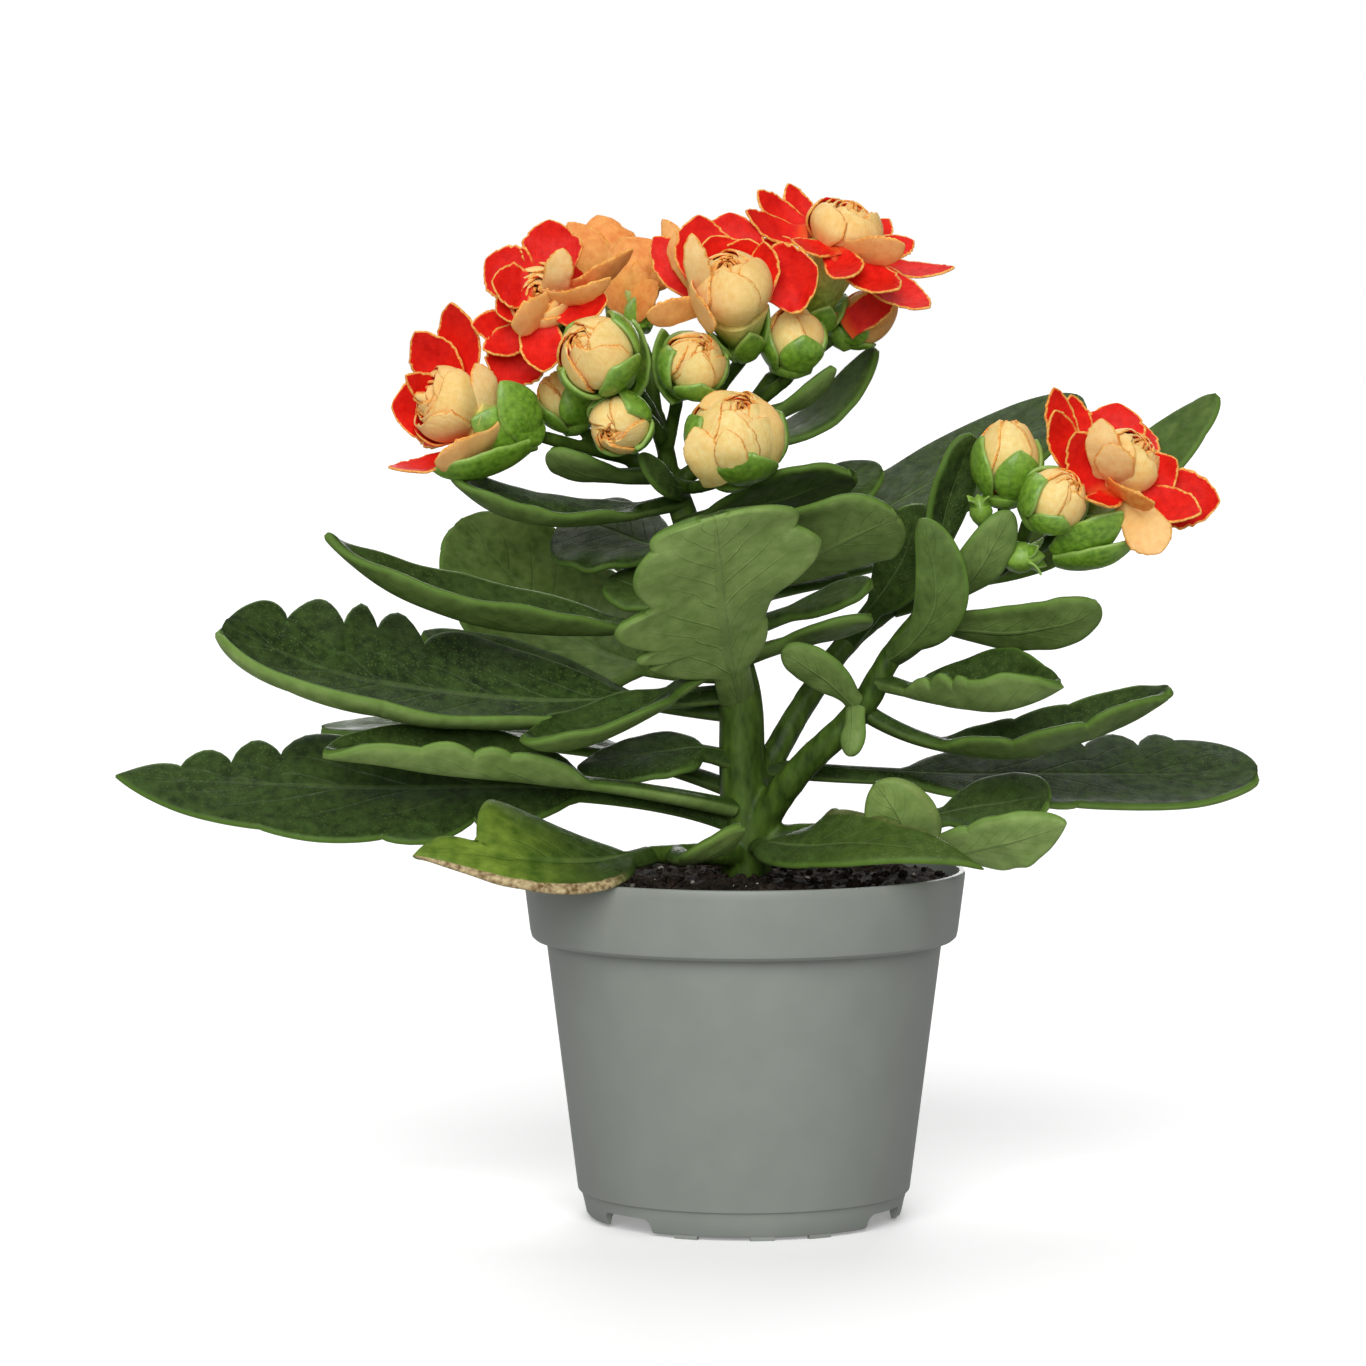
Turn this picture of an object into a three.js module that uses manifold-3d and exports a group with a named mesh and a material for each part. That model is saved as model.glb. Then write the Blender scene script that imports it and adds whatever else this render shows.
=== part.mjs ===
// A potted double-flowered kalanchoe: a grey plastic nursery pot filled with peat, a fleshy stem with
// side branches, scalloped leaves in pairs, and two heads of red double flowers and cream buds.
// Millimetres, +Z up, the front towards -Y. The origin is the middle of the pot's foot, where it stands.
import * as THREE from 'three';
import { mergeVertices } from 'three/addons/utils/BufferGeometryUtils.js';
import Module from 'manifold-3d';

const wasm = await Module();
wasm.setup();

// Driving dimensions
const POT_RADIUS = 30;
const POT_HEIGHT = 47.5;
const POT_WALL = 0.9;
const COLLAR_BOTTOM = 38;
const FLOOR_TOP = 3.4;
const SOIL_TOP = 46.2;
const GAP = 0.3;
const LEAF_THICKNESS = 1.5;
const LEAF_STALK_THICKNESS = 2.6;
const LEAF_STALK_HALF_WIDTH = 1.6;
const PETAL_THICKNESS = 0.7;
const FLOWER_STALK_RADIUS = 0.9;

const deg = THREE.MathUtils.degToRad;
const mix = THREE.MathUtils.lerp;
const at = (x, y, z) => new THREE.Vector3(x, y, z);
const X_AXIS = at(1, 0, 0);
const Z_AXIS = at(0, 0, 1);

function solidFrom(geometry) {
  const loose = geometry.index ? geometry.toNonIndexed() : geometry;
  const bare = new THREE.BufferGeometry().setAttribute('position', loose.getAttribute('position'));
  const merged = mergeVertices(bare, 1e-4);
  const vertProperties = merged.attributes.position.array;
  const triVerts = new Uint32Array(merged.index.array);
  return new wasm.Manifold(new wasm.Mesh({ numProp: 3, vertProperties, triVerts }));
}

function meshFrom(name, solid, material) {
  const made = solid.getMesh();
  const geometry = new THREE.BufferGeometry();
  geometry.setAttribute('position', new THREE.BufferAttribute(made.vertProperties, made.numProp));
  geometry.setIndex(new THREE.BufferAttribute(made.triVerts, 1));
  geometry.computeVertexNormals();
  const mesh = new THREE.Mesh(geometry, material);
  mesh.name = name;
  return mesh;
}

const joined = (solids) => solids.reduce((all, solid) => all.add(solid));

// The body that a cut leaves, without the scraps beside it.
const largestBody = (solid) => solid.decompose().reduce((a, b) => (b.volume() > a.volume() ? b : a));

// A smooth curve through evenly spread points, at a share of its length from 0 to 1.
function pointThrough(points, share) {
  const last = points.length - 1;
  const sum = at(0, 0, 0);
  points.forEach((point, i) => {
    let weight = 1;
    for (let j = 0; j <= last; j += 1) {
      if (j !== i) weight *= (share * last - j) / (i - j);
    }
    sum.addScaledVector(point, weight);
  });
  return sum;
}

// A sphere's rings drawn out along a path, each placed by ring(share, angle, isEnd), its poles at the ends.
function drawnOut(rings, sides, ring) {
  const shares = [0, ...rings, 1];
  const geometry = new THREE.SphereGeometry(1, sides, rings.length + 1);
  const position = geometry.getAttribute('position');
  const uv = geometry.getAttribute('uv');
  for (let i = 0; i < position.count; i += 1) {
    const row = Math.round((1 - uv.getY(i)) * (rings.length + 1));
    const isEnd = row === 0 || row === rings.length + 1;
    const point = ring(shares[row], uv.getX(i) * Math.PI * 2, isEnd);
    position.setXYZ(i, point.x, point.y, point.z);
  }
  return solidFrom(geometry);
}

// A blade: a lens-shaped section along a midrib. Its halves stand up from the midrib by fold, and each
// turns up by its own curl, most of it near the edge. Left and right are seen from above, looking at the tip.
function blade({ midrib, face, tipFace = face, half, thickness, fold = 0, curl = [0, 0], rows, sides = 8 }) {
  return drawnOut(rows, sides, (share, angle, isEnd) => {
    const tangent = pointThrough(midrib, share + 0.01).sub(pointThrough(midrib, share - 0.01)).normalize();
    const up = face.clone().lerp(tipFace, share);
    const right = tangent.clone().cross(up).normalize();
    up.crossVectors(right, tangent);
    const across = isEnd ? 0 : Math.cos(angle);
    const hand = across < 0 ? 0 : 1;
    const width = half(share, hand);
    const spread = Math.min(1, width / (2.5 * LEAF_STALK_HALF_WIDTH));
    const reach = Math.abs(across);
    const slope = (part) => (deg(fold) + deg(curl[hand]) * (reach * part) ** 2) * spread;
    const summed = (wave) => (width * reach * (wave(slope(0)) + 4 * wave(slope(0.5)) + wave(slope(1)))) / 6;
    const rise = isEnd ? 0 : (thickness(share) / 2) * Math.sin(angle);
    return pointThrough(midrib, share)
      .addScaledVector(right, (summed(Math.cos) - rise * Math.sin(slope(1))) * (hand ? 1 : -1))
      .addScaledVector(up, summed(Math.sin) + rise * Math.cos(slope(1)));
  });
}

// A round stalk along points, with a radius at each.
function stalk(points, radii, { extra = 0, sides = 8, steps = 2 } = {}) {
  const curve = new THREE.CatmullRomCurve3(points, false, 'centripetal');
  const last = points.length - 1;
  const rings = Array.from({ length: last * steps + 1 }, (_, i) => i / (last * steps));
  return drawnOut(rings, sides, (share, angle, isEnd) => {
    const slot = Math.min(Math.floor(share * last), last - 1);
    const radius = isEnd ? 0 : mix(radii[slot], radii[slot + 1], share * last - slot) + extra;
    const tangent = curve.getTangent(share);
    const side = X_AXIS.clone().cross(tangent).normalize();
    const other = tangent.clone().cross(side);
    return curve.getPoint(share)
      .addScaledVector(side, -radius * Math.sin(angle))
      .addScaledVector(other, -radius * Math.cos(angle));
  });
}

// Turns a solid that is made along +Z from the origin to point along an axis from a place.
function placed(solid, place, axis) {
  const turn = new THREE.Quaternion().setFromUnitVectors(Z_AXIS, axis.clone().normalize());
  return solid.transform(new THREE.Matrix4().compose(place, turn, at(1, 1, 1)).elements);
}

const plastic = (color, roughness) => new THREE.MeshStandardMaterial({ color, roughness, metalness: 0 });
const POT_GREY = plastic(0x7a827a, 0.45);
const PEAT = plastic(0x1d1511, 0.95);
const STEM_GREEN = plastic(0x4b6b35, 0.55);
const LEAF_GREEN = plastic(0x3c5c33, 0.5);
const YELLOWING_GREEN = plastic(0x5d7a35, 0.5);
const CALYX_GREEN = plastic(0x5c8a36, 0.5);
const PETAL_RED = plastic(0xd1281b, 0.5);
const PETAL_CREAM = plastic(0xe8bd7c, 0.55);

// Pot: a tapered wall under a wider collar. Below the floor its skirt stands on small feet and a
// middle boss, and three drain slots are cut through the skirt and the edge of the floor.
const WALL_TOP_RADIUS = 26.9;
const WALL_FOOT_RADIUS = 22.3;
const SKIRT_RADIUS = 21.4;
const COLLAR_RADIUS = 29;
const BASE_LINE = 3.8;
const FEET_HEIGHT = 0.4;
const FLOOR_BOTTOM = 2.5;
const BOSS_RADIUS = 5;
const DRAIN_SLOT_ANGLES = [-138, -28, 97];
const FEET_ANGLES = [-112, -84, -62, 4, 35, 62, 130, 160];

function potSolid() {
  const profile = [
    [0, 0], [BOSS_RADIUS, 0], [BOSS_RADIUS, FLOOR_BOTTOM], [SKIRT_RADIUS - 1.2, FLOOR_BOTTOM],
    [SKIRT_RADIUS - 0.9, FEET_HEIGHT], [SKIRT_RADIUS, FEET_HEIGHT],
    [WALL_FOOT_RADIUS - 0.1, BASE_LINE], [WALL_FOOT_RADIUS + 0.1, BASE_LINE + 0.1],
    [WALL_TOP_RADIUS, COLLAR_BOTTOM], [COLLAR_RADIUS - 0.7, COLLAR_BOTTOM],
    [COLLAR_RADIUS, COLLAR_BOTTOM + 1],
    [POT_RADIUS, POT_HEIGHT - 0.4], [POT_RADIUS - 0.4, POT_HEIGHT], [POT_RADIUS - POT_WALL, POT_HEIGHT - 0.2],
    [COLLAR_RADIUS - POT_WALL, COLLAR_BOTTOM + POT_WALL + 0.6],
    [WALL_TOP_RADIUS - POT_WALL, COLLAR_BOTTOM + POT_WALL], [WALL_FOOT_RADIUS - POT_WALL, FLOOR_TOP],
    [0, FLOOR_TOP],
  ];
  const outline = profile.map(([x, y]) => new THREE.Vector2(x, y));
  let pot = solidFrom(new THREE.LatheGeometry(outline, 32).rotateX(deg(90)));
  for (const angle of DRAIN_SLOT_ANGLES) {
    const arch = new THREE.Shape();
    arch.moveTo(-4.6, -1).lineTo(4.6, -1).lineTo(4.6, 0.8);
    arch.quadraticCurveTo(4.2, 2.3, 2.8, 2.3).lineTo(-2.8, 2.3).quadraticCurveTo(-4.2, 2.3, -4.6, 0.8);
    const slot = new THREE.ExtrudeGeometry(arch, { depth: 6, bevelEnabled: false, curveSegments: 2 });
    slot.rotateX(deg(90)).rotateZ(deg(90)).translate(SKIRT_RADIUS - 4, 0, 0).rotateZ(deg(angle));
    const drain = new THREE.BoxGeometry(3, 6, 4);
    drain.translate(SKIRT_RADIUS - 3.2, 0, FLOOR_BOTTOM).rotateZ(deg(angle));
    pot = pot.subtract(solidFrom(slot)).subtract(solidFrom(drain));
  }
  for (const angle of FEET_ANGLES) {
    const foot = new THREE.BoxGeometry(0.7, 3.2, 1);
    foot.translate(SKIRT_RADIUS - 0.55, 0, 0.5).rotateZ(deg(angle));
    pot = pot.add(solidFrom(foot));
  }
  return pot;
}

// Peat up to just under the rim, its top crumbled in small mounds, with a plain hole for the stem
function soilSolid() {
  const profile = [
    [0, FLOOR_TOP + GAP], [WALL_FOOT_RADIUS - POT_WALL - 0.6, FLOOR_TOP + GAP],
    [WALL_TOP_RADIUS - POT_WALL - GAP - 0.1, COLLAR_BOTTOM + POT_WALL + GAP],
    [COLLAR_RADIUS - POT_WALL - GAP - 0.1, COLLAR_BOTTOM + POT_WALL + GAP + 0.8],
    [POT_RADIUS - POT_WALL - GAP - 0.3, SOIL_TOP - 0.6], [24, SOIL_TOP], [16, SOIL_TOP], [8, SOIL_TOP],
    [0, SOIL_TOP],
  ];
  const outline = profile.map(([x, y]) => new THREE.Vector2(x, y));
  const geometry = new THREE.LatheGeometry(outline, 24).rotateX(deg(90));
  const position = geometry.getAttribute('position');
  for (let i = 0; i < position.count; i += 1) {
    const x = position.getX(i);
    const y = position.getY(i);
    const mound = 0.5 * Math.sin(x * 0.9) * Math.sin(y * 0.8 + 1) + 0.7 * Math.exp(-(x * x + y * y) / 90);
    if (position.getZ(i) > SOIL_TOP - 0.1) position.setZ(i, SOIL_TOP + mound);
  }
  return solidFrom(geometry).subtract(stemSolid(GAP));
}

// Stem: the main stem, which leans left as it rises, and its four side branches
const MAIN_STEM = {
  points: [
    [0.5, 0, 30], [0.3, 0, 47], [-0.3, 0, 62], [-0.8, 0, 72], [-4.4, 0, 84], [-8, 0, 95], [-9.6, 0, 99.5],
  ],
  radii: [3.4, 3.5, 3.2, 3, 2.3, 1.9, 1.7],
};
const BRANCHES = {
  right: {
    points: [
      [0.6, -1, 50], [2.4, -1.5, 54], [7.5, -4, 61.2], [15.5, -6, 69.5], [19.5, -7, 76.5], [26.5, -6, 85.5],
    ],
    radii: [2.4, 2.3, 2, 1.9, 1.6, 1.3],
  },
  back_right: {
    points: [[0.5, 0.5, 57], [3.3, 2, 61.4], [8.5, 5, 70], [14.5, 8, 78], [21, 10, 83]],
    radii: [2, 1.9, 1.7, 1.6, 1.3],
  },
  low_right: {
    points: [[1, -1, 51], [9, -3, 52.3], [17, -7, 52], [24, -11, 50.8]],
    radii: [1.9, 1.7, 1.5, 1.2],
  },
  low_left: {
    points: [[0, -1, 49.5], [-7, -8, 50.2], [-13, -13, 50.6]],
    radii: [1.8, 1.5, 1.2],
  },
};

// The stem and its branches as one body, thicker by extra where it serves as the room they need
function stemSolid(extra = 0) {
  const grown = ({ points, radii }, sides) => stalk(points.map((p) => at(...p)), radii, { extra, sides });
  const branches = Object.values(BRANCHES).map((branch) => grown(branch, 6));
  return joined([grown(MAIN_STEM, 10), ...branches]);
}

// Leaves: the midrib from the stem to the tip, the way the upper face looks, the half-widths left and
// right, the share that is stalk, where it is widest, and the rounded teeth with their notches.
const LEAVES = {
  low_left_long: {
    midrib: [[-1, -0.5, 53.5], [-25, -6, 58.5], [-53.5, -10, 59], [-84, -12, 61]], face: [0.05, -0.7, 0.7],
    half: [10.5, 10], stalk: 0.3, widest: 0.45, tip: 0.85, teeth: 4, notch: [0.08, 0.25], fold: 5,
  },
  left_broad: {
    midrib: [[-1, -0.5, 71.5], [-25, -7, 70.5], [-48, -12, 73], [-69.5, -14, 81]], face: [0.2, -0.6, 0.75],
    half: [13, 14], stalk: 0.2, widest: 0.62, tip: 0.45, teeth: 4, notch: [0.05, 0.2], curl: [90, 10],
  },
  left_folded: {
    midrib: [[-1.5, -2.5, 50], [-20, -12, 60], [-37, -18, 62.2], [-55.5, -23, 65]], face: [0, -0.1, 1],
    half: [6.5, 8], stalk: 0.35, widest: 0.5, teeth: 3, notch: [0.2, 0.12], fold: 50,
  },
  left_narrow: {
    midrib: [[-3.5, -0.5, 82], [-21.5, -7, 80.5], [-39.5, -12, 83], [-55.5, -16, 93.5]], face: [0, -0.15, 1],
    tipFace: [0.45, -0.15, 0.85], half: [6, 7], stalk: 0.2, widest: 0.5, tip: 0.8, fold: 50,
  },
  back_left_round: {
    midrib: [[-2, 1, 74], [-19.5, 12, 76], [-29.5, 18, 83], [-40, 22, 93.5]], face: [0.3, -0.8, 0.5],
    half: [10.5, 12], stalk: 0.2, widest: 0.55, tip: 0.45, teeth: 3, notch: [0.08, 0.08], curl: [10, 10],
  },
  left_trough: {
    midrib: [[-1, 1.5, 68.5], [-23.5, 5, 72], [-44, 6, 79]], face: [0.15, -0.4, 0.9],
    half: [5.5, 5.5], stalk: 0.3, fold: 20,
  },
  head_left: {
    midrib: [[-8.5, -0.5, 97.5], [-19.5, -5, 95.5], [-30, -9, 96], [-39, -12, 101.5]], face: [0, -0.35, 0.95],
    half: [5.5, 6], stalk: 0.15, fold: 15, curl: [50, 10],
  },
  back_left_grey: {
    midrib: [[-6, 1, 89], [-16, 6, 92], [-25, 10, 94]], face: [0, -0.5, 0.85],
    half: [8, 8], stalk: 0.2, widest: 0.65,
  },
  front_big: {
    midrib: [[-1, -1.5, 71], [-3, -17, 81.5], [-4, -29, 90], [-4.5, -37, 96.5]], face: [-0.3, 0.6, 0.75],
    half: [15, 14.5], stalk: 0.12, widest: 0.5, tip: 0.4, teeth: 3, notch: [0.03, 0.22],
  },
  front_right_lower: {
    midrib: [[-3.5, -1, 83.5], [4, -12, 88.5], [12, -20, 93], [19.5, -25, 96.5]], face: [-0.3, 0.75, 0.6],
    half: [8, 9], stalk: 0.15, widest: 0.6,
  },
  front_right_upper: {
    midrib: [[-8.5, -0.5, 94], [-0.5, -7, 97], [7.5, -11, 99.5], [14, -14, 101.5]], face: [-0.3, 0.5, 0.8],
    half: [6.5, 6.5], stalk: 0.15, widest: 0.6,
  },
  behind_right: {
    midrib: [[-6.5, 1, 91.5], [7.5, 7, 96.5], [19, 9, 101.5]], face: [0, -0.5, 0.85],
    half: [6, 6], stalk: 0.2,
  },
  back_right_large: {
    midrib: [[-3, 1, 85], [9, 8, 90], [27, 15, 99.5], [47, 22, 111]], face: [-0.4, -0.5, 0.8],
    half: [10, 10], stalk: 0.2, widest: 0.6, tip: 0.45,
  },
  right_far_top: {
    midrib: [[20.5, 9.5, 82.5], [36, 12, 88], [50, 14, 97], [65.5, 15, 111.5]], face: [-0.5, -0.6, 0.5],
    half: [6, 6], stalk: 0.25, teeth: 2, notch: [0.1, 0.1],
  },
  behind_upright: {
    midrib: [[14.5, 7.5, 78.5], [21, 1, 88], [24, -2, 97]], face: [-0.3, -0.85, 0.4],
    half: [5, 5], stalk: 0.2,
  },
  upright_pale: {
    midrib: [[20, -7.5, 77], [25.2, -16, 84.5], [23, -17, 95.5]], face: [0.2, 0.95, 0.2],
    half: [4.2, 3], stalk: 0.15, widest: 0.5,
  },
  upright_dark: {
    midrib: [[25, -4.5, 84], [26.8, -4.2, 96.5], [30.5, -5, 106.5]], face: [0.5, -0.8, 0.1],
    half: [3.5, 3.5], stalk: 0.2, fold: 30,
  },
  upright_small: {
    midrib: [[26.5, -7, 84], [30.5, -13, 88.5], [35, -14.5, 96.5]], face: [-0.3, 0.9, 0.2],
    half: [3.5, 3.5], stalk: 0.2,
  },
  right_smooth: {
    midrib: [[23.5, -6.5, 81.5], [38, -13, 81], [46.5, -16, 84.5]], face: [0, 0.75, 0.65], half: [4.5, 4.5],
    stalk: 0.2,
  },
  right_toothed: {
    midrib: [[18, -7, 73.5], [26, -12, 71.5], [33.5, -17, 71], [41.5, -20, 74]], face: [0, -0.1, 1],
    half: [8.5, 5.5], stalk: 0.15, teeth: 3, notch: [0.05, 0.2], fold: 50,
  },
  right_trough: {
    midrib: [[16, -5.5, 69.5], [29, -8, 64.5], [43.5, -9, 65.5], [57, -8, 72.5]], face: [0, -0.15, 1],
    half: [7, 7.5], stalk: 0.25, teeth: 2, notch: [0.1, 0.35], fold: 35, curl: [20, 10],
  },
  right_long: {
    midrib: [[1, 1, 61.5], [24, 5, 59.5], [47.5, 10, 59], [71, 12, 59.5]], face: [0, -0.5, 0.85],
    half: [10.5, 10.5], stalk: 0.3, widest: 0.6, tip: 0.42, teeth: 4, notch: [0.18, 0.08], curl: [5, 40],
  },
  rim_right: {
    midrib: [[2, -3.8, 50.8], [8, -18, 52], [19, -25, 52.5], [31, -27, 50]], face: [0, -0.7, 0.7],
    half: [7.5, 4], stalk: 0.1, widest: 0.3, tip: 0.7, teeth: 2, notch: [0.12, 0.05],
  },
  right_round: {
    midrib: [[21, -9.5, 51.5], [21, -16, 56], [17.5, -18, 60.5]], face: [0.2, 0.9, 0.3],
    half: [4.2, 4.2], stalk: 0.2,
  },
  right_low_pale: {
    midrib: [[24.5, -11.5, 50.8], [33, -19, 53.5], [41.5, -22, 55]], face: [-0.1, 0.8, 0.6],
    half: [4.5, 4.5], stalk: 0.15,
  },
  right_low_dark: {
    midrib: [[17, -6.5, 52.5], [32, -4, 56], [41, -5, 57]], face: [0, -0.7, 0.7],
    half: [5.5, 5.5], stalk: 0.3,
  },
  yellowing: {
    midrib: [[-13, -13, 50.5], [-22, -23, 50.3], [-32.5, -27, 51.2], [-43.5, -29, 52]], face: [0, -0.6, 0.8],
    half: [6, 12], stalk: 0.1, widest: 0.35, tip: 1.1, teeth: 2, notch: [0.05, 0.45],
  },
  front_small: {
    midrib: [[-9.5, -10, 50.5], [-6, -22, 51.5], [-0.5, -25, 55.5]], face: [-0.3, 0.4, 0.85],
    half: [3.5, 3.5], stalk: 0.3,
  },
  left_drooping: {
    midrib: [[-1, -1, 62], [-9.5, -3, 63.2], [-16.5, -4.5, 63.2], [-24, -5.5, 63.2]], face: [0, -0.5, 0.85],
    half: [6, 4], stalk: 0.2, widest: 0.35,
  },
  left_small_trough: {
    midrib: [[-1.5, -1.5, 76.5], [-9, -9, 72.5], [-20, -16, 66.5], [-29.5, -19.5, 67]], face: [0, -0.2, 1],
    half: [6, 6.5], stalk: 0.35, widest: 0.55, fold: 35,
  },
  back_left_low: {
    midrib: [[-1, 2, 58], [-20, 10, 63], [-40, 19, 65], [-59, 25, 64.5]], face: [0.1, -0.15, 1],
    half: [8, 8], stalk: 0.25, teeth: 3, notch: [0.1, 0.1],
  },
  back_left_high: {
    midrib: [[-3.5, 2, 78.5], [-9, 24, 87.5], [-16, 43, 88.5]], face: [0, -0.3, 0.95],
    half: [9, 9], stalk: 0.2, teeth: 3, notch: [0.1, 0.1],
  },
  back_right_high: {
    midrib: [[-2, 2, 81], [10, 22, 88], [20, 42, 90]], face: [0, -0.3, 0.95], half: [9, 9], stalk: 0.2,
    teeth: 3, notch: [0.1, 0.1],
  },
};
const TEETH_FROM = 0.3;
const TEETH_TO = 0.94;

function leafRows({ stalk: stalkShare, teeth = 0 }) {
  const step = (TEETH_TO - TEETH_FROM) / teeth;
  const inside = [];
  for (let i = 0; i < teeth; i += 1) {
    inside.push(TEETH_FROM + i * step, TEETH_FROM + (i + 0.25) * step, TEETH_FROM + (i + 0.75) * step);
  }
  const onBlade = teeth ? [0.14, ...inside, TEETH_TO, 0.985] : [0.14, 0.32, 0.55, 0.75, 0.9, 0.98];
  return [0, stalkShare * 0.6, stalkShare, ...onBlade.map((b) => mix(stalkShare, 1, b))];
}

function leafHalf({ half, stalk: stalkShare, widest = 0.55, tip = 0.5, teeth = 0, notch = [0, 0] }) {
  const rootPower = (tip * widest) / (1 - widest);
  return (share, hand) => {
    const b = THREE.MathUtils.clamp((share - stalkShare) / (1 - stalkShare), 0, 0.995);
    const body = (b / widest) ** rootPower * ((1 - b) / (1 - widest)) ** tip;
    const phase = ((b - TEETH_FROM) / (TEETH_TO - TEETH_FROM)) * teeth;
    const toothed = teeth && phase >= -1e-6 && phase <= teeth + 1e-6;
    const cut = toothed ? notch[hand] * (1 - Math.sqrt(Math.abs(Math.sin(Math.PI * phase)))) : 0;
    return Math.max(LEAF_STALK_HALF_WIDTH * (1 - b), half[hand] * body * (1 - cut));
  };
}

function leafSolid(leaf) {
  const { stalk: stalkShare, face, tipFace = face, fold, curl } = leaf;
  const thinning = (share) => Math.min(1, share / (stalkShare + 0.15));
  return blade({
    midrib: leaf.midrib.map((p) => at(...p)),
    face: at(...face),
    tipFace: at(...tipFace),
    half: leafHalf(leaf),
    thickness: (share) => mix(LEAF_STALK_THICKNESS, LEAF_THICKNESS, thinning(share)),
    fold,
    curl,
    rows: leafRows(leaf),
    sides: leaf.curl || leaf.half[0] > 8 ? 8 : 4,
  });
}

// Small leaves that are one body with the stem or with the stalks of a flower head
const SMALL_LEAVES = {
  stem: [
    {
      midrib: [[-4, 0, 83], [-13, 2, 85], [-18.5, 4, 86.5]], face: [0, -0.6, 0.8],
      half: [4.5, 4.5], stalk: 0.2,
    },
    {
      midrib: [[15.5, -6, 70], [10.5, -9.5, 74.5], [5, -11, 78]], face: [0.5, 0.8, 0.3],
      half: [2.4, 2.4], stalk: 0.15,
    },
    {
      midrib: [[15, -6, 70], [14.6, -9, 67], [14, -10, 63.5]], face: [0.4, 0.8, 0],
      half: [1.6, 1.6], stalk: 0.2,
    },
    {
      midrib: [[-1.5, 0, 79.5], [9.5, -3, 83.5], [17, -6, 86.5]], face: [0, -0.5, 0.85],
      half: [3.5, 3.5], stalk: 0.3,
    },
    {
      midrib: [[-1, -0.5, 76], [9, -6, 79.5], [17, -9, 82]], face: [0, 0.3, 0.95],
      half: [3.5, 3.5], stalk: 0.3,
    },
  ],
  main: [
    {
      midrib: [[-12.5, 0, 101], [-20.5, -7, 101.5], [-26, -10, 104.5]], face: [0.3, 0.6, 0.7],
      half: [3.5, 3.5], stalk: 0.25,
    },
    {
      midrib: [[-8.5, -0.5, 99], [-10.5, -7, 100], [-14, -10, 104]], face: [0.5, -0.8, 0.3],
      half: [2, 2], stalk: 0.15,
    },
    {
      midrib: [[2.5, 1, 109], [7.5, -2, 111], [12, -3, 115.5]], face: [-0.5, 0.6, 0.6],
      half: [2, 2], stalk: 0.2,
    },
    {
      midrib: [[-2, 0.5, 106], [8.5, 5.5, 107.5], [18, 8.5, 118]], face: [-0.6, -0.4, 0.6],
      half: [5, 5], stalk: 0.15,
    },
  ],
  side: [],
};
const smallLeaves = (where) => SMALL_LEAVES[where].map((leaf) => leafSolid(leaf));

// Flower heads: forked stalks from the top of a stem, which the stalks of the flowers branch from
const HEAD_STALKS = {
  main: [
    [[-9.6, 0, 98.5], [-10.6, -0.5, 104], [-12, -0.5, 109]],
    [[-9.7, 0, 99.5], [-5.5, -0.5, 102.5], [-1, 0.5, 107.5], [4, 0.5, 114]],
    [[-9.8, 0, 100.5], [-12.5, 0, 102], [-15.5, 0, 103]],
  ],
  side: [
    [[26.5, -6, 85.5], [32, -7, 87.5], [36, -7.5, 90]],
  ],
};

// Open flowers: the middle of the heart, the way the flower faces, its stalk as far as the calyx, the
// length of its funnel, the heart's radius and length, and rings of petals round the heart. The petals
// lean out from the axis and bend further towards the tip.
const BLOOMS = {
  far_left: {
    head: 'main', centre: [-40.5, -11, 110.6], facing: [-0.9, -0.3, 0.3],
    stalk: [[-15, 0, 103], [-21, -3.5, 104.5]],
    tube: 7.5, heart: [4.9, 9.5], rings: [{ count: 5, length: 13.5, half: 4.6, lean: 42, bend: 8, spin: 33 }],
  },
  left: {
    head: 'main', centre: [-27.3, -9.5, 125], facing: [-0.2, -0.9, 0.3],
    stalk: [[-12, -0.5, 109], [-18, 0, 115]],
    tube: 7, heart: [3.6, 6], rings: [
      { count: 6, length: 8.6, half: 3.6, lean: 72, bend: 25, spin: 0 },
      { count: 5, length: 6.2, half: 3, lean: 45, bend: 15, spin: 30 },
    ],
  },
  rear: {
    head: 'main', centre: [-16.9, 10, 130.5], facing: [-0.2, 0.75, 0.6],
    stalk: [[-12, -0.5, 109], [-13, 1, 116]],
    tube: 6, heart: [3.8, 7], rings: [{ count: 6, length: 8, half: 3.6, lean: 60, bend: 20, spin: 10 }],
  },
  middle: {
    head: 'main', centre: [-1.9, -12, 126.3], facing: [-0.08, -0.75, 0.6],
    stalk: [[-5.5, -0.5, 102.5], [-4, 0.5, 111]],
    tube: 6.5, heart: [5.1, 9.5], rings: [
      { count: 4, length: 10.4, half: 4.4, lean: 60, bend: 15, spin: 0, arc: 240 },
      { count: 2, length: 5.5, half: 2.6, lean: 58, bend: -15, spin: 240, arc: 120 },
    ],
  },
  right: {
    head: 'main', centre: [13.6, -2, 134.7], facing: [0.42, -0.3, 0.86],
    stalk: [[4, 0.5, 114], [7, 1, 117]],
    tube: 9.5, heart: [4, 8.5], rings: [
      { count: 7, length: 12, half: 2.6, lean: 78, bend: 18, spin: 0 },
      { count: 5, length: 8, half: 2.6, lean: 62, bend: 15, spin: 25 },
    ],
  },
  side: {
    head: 'side', centre: [51.1, -12, 103.4], facing: [0.6, -0.4, 0.66],
    stalk: [[36, -7.5, 90], [39.5, -7, 91.5]],
    tube: 8, heart: [4, 8], rings: [
      { count: 6, length: 8.8, half: 3.2, lean: 72, bend: 20, spin: 15 },
      { count: 5, length: 7, half: 2.8, lean: 48, bend: 15, spin: 45 },
    ],
  },
};

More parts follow.
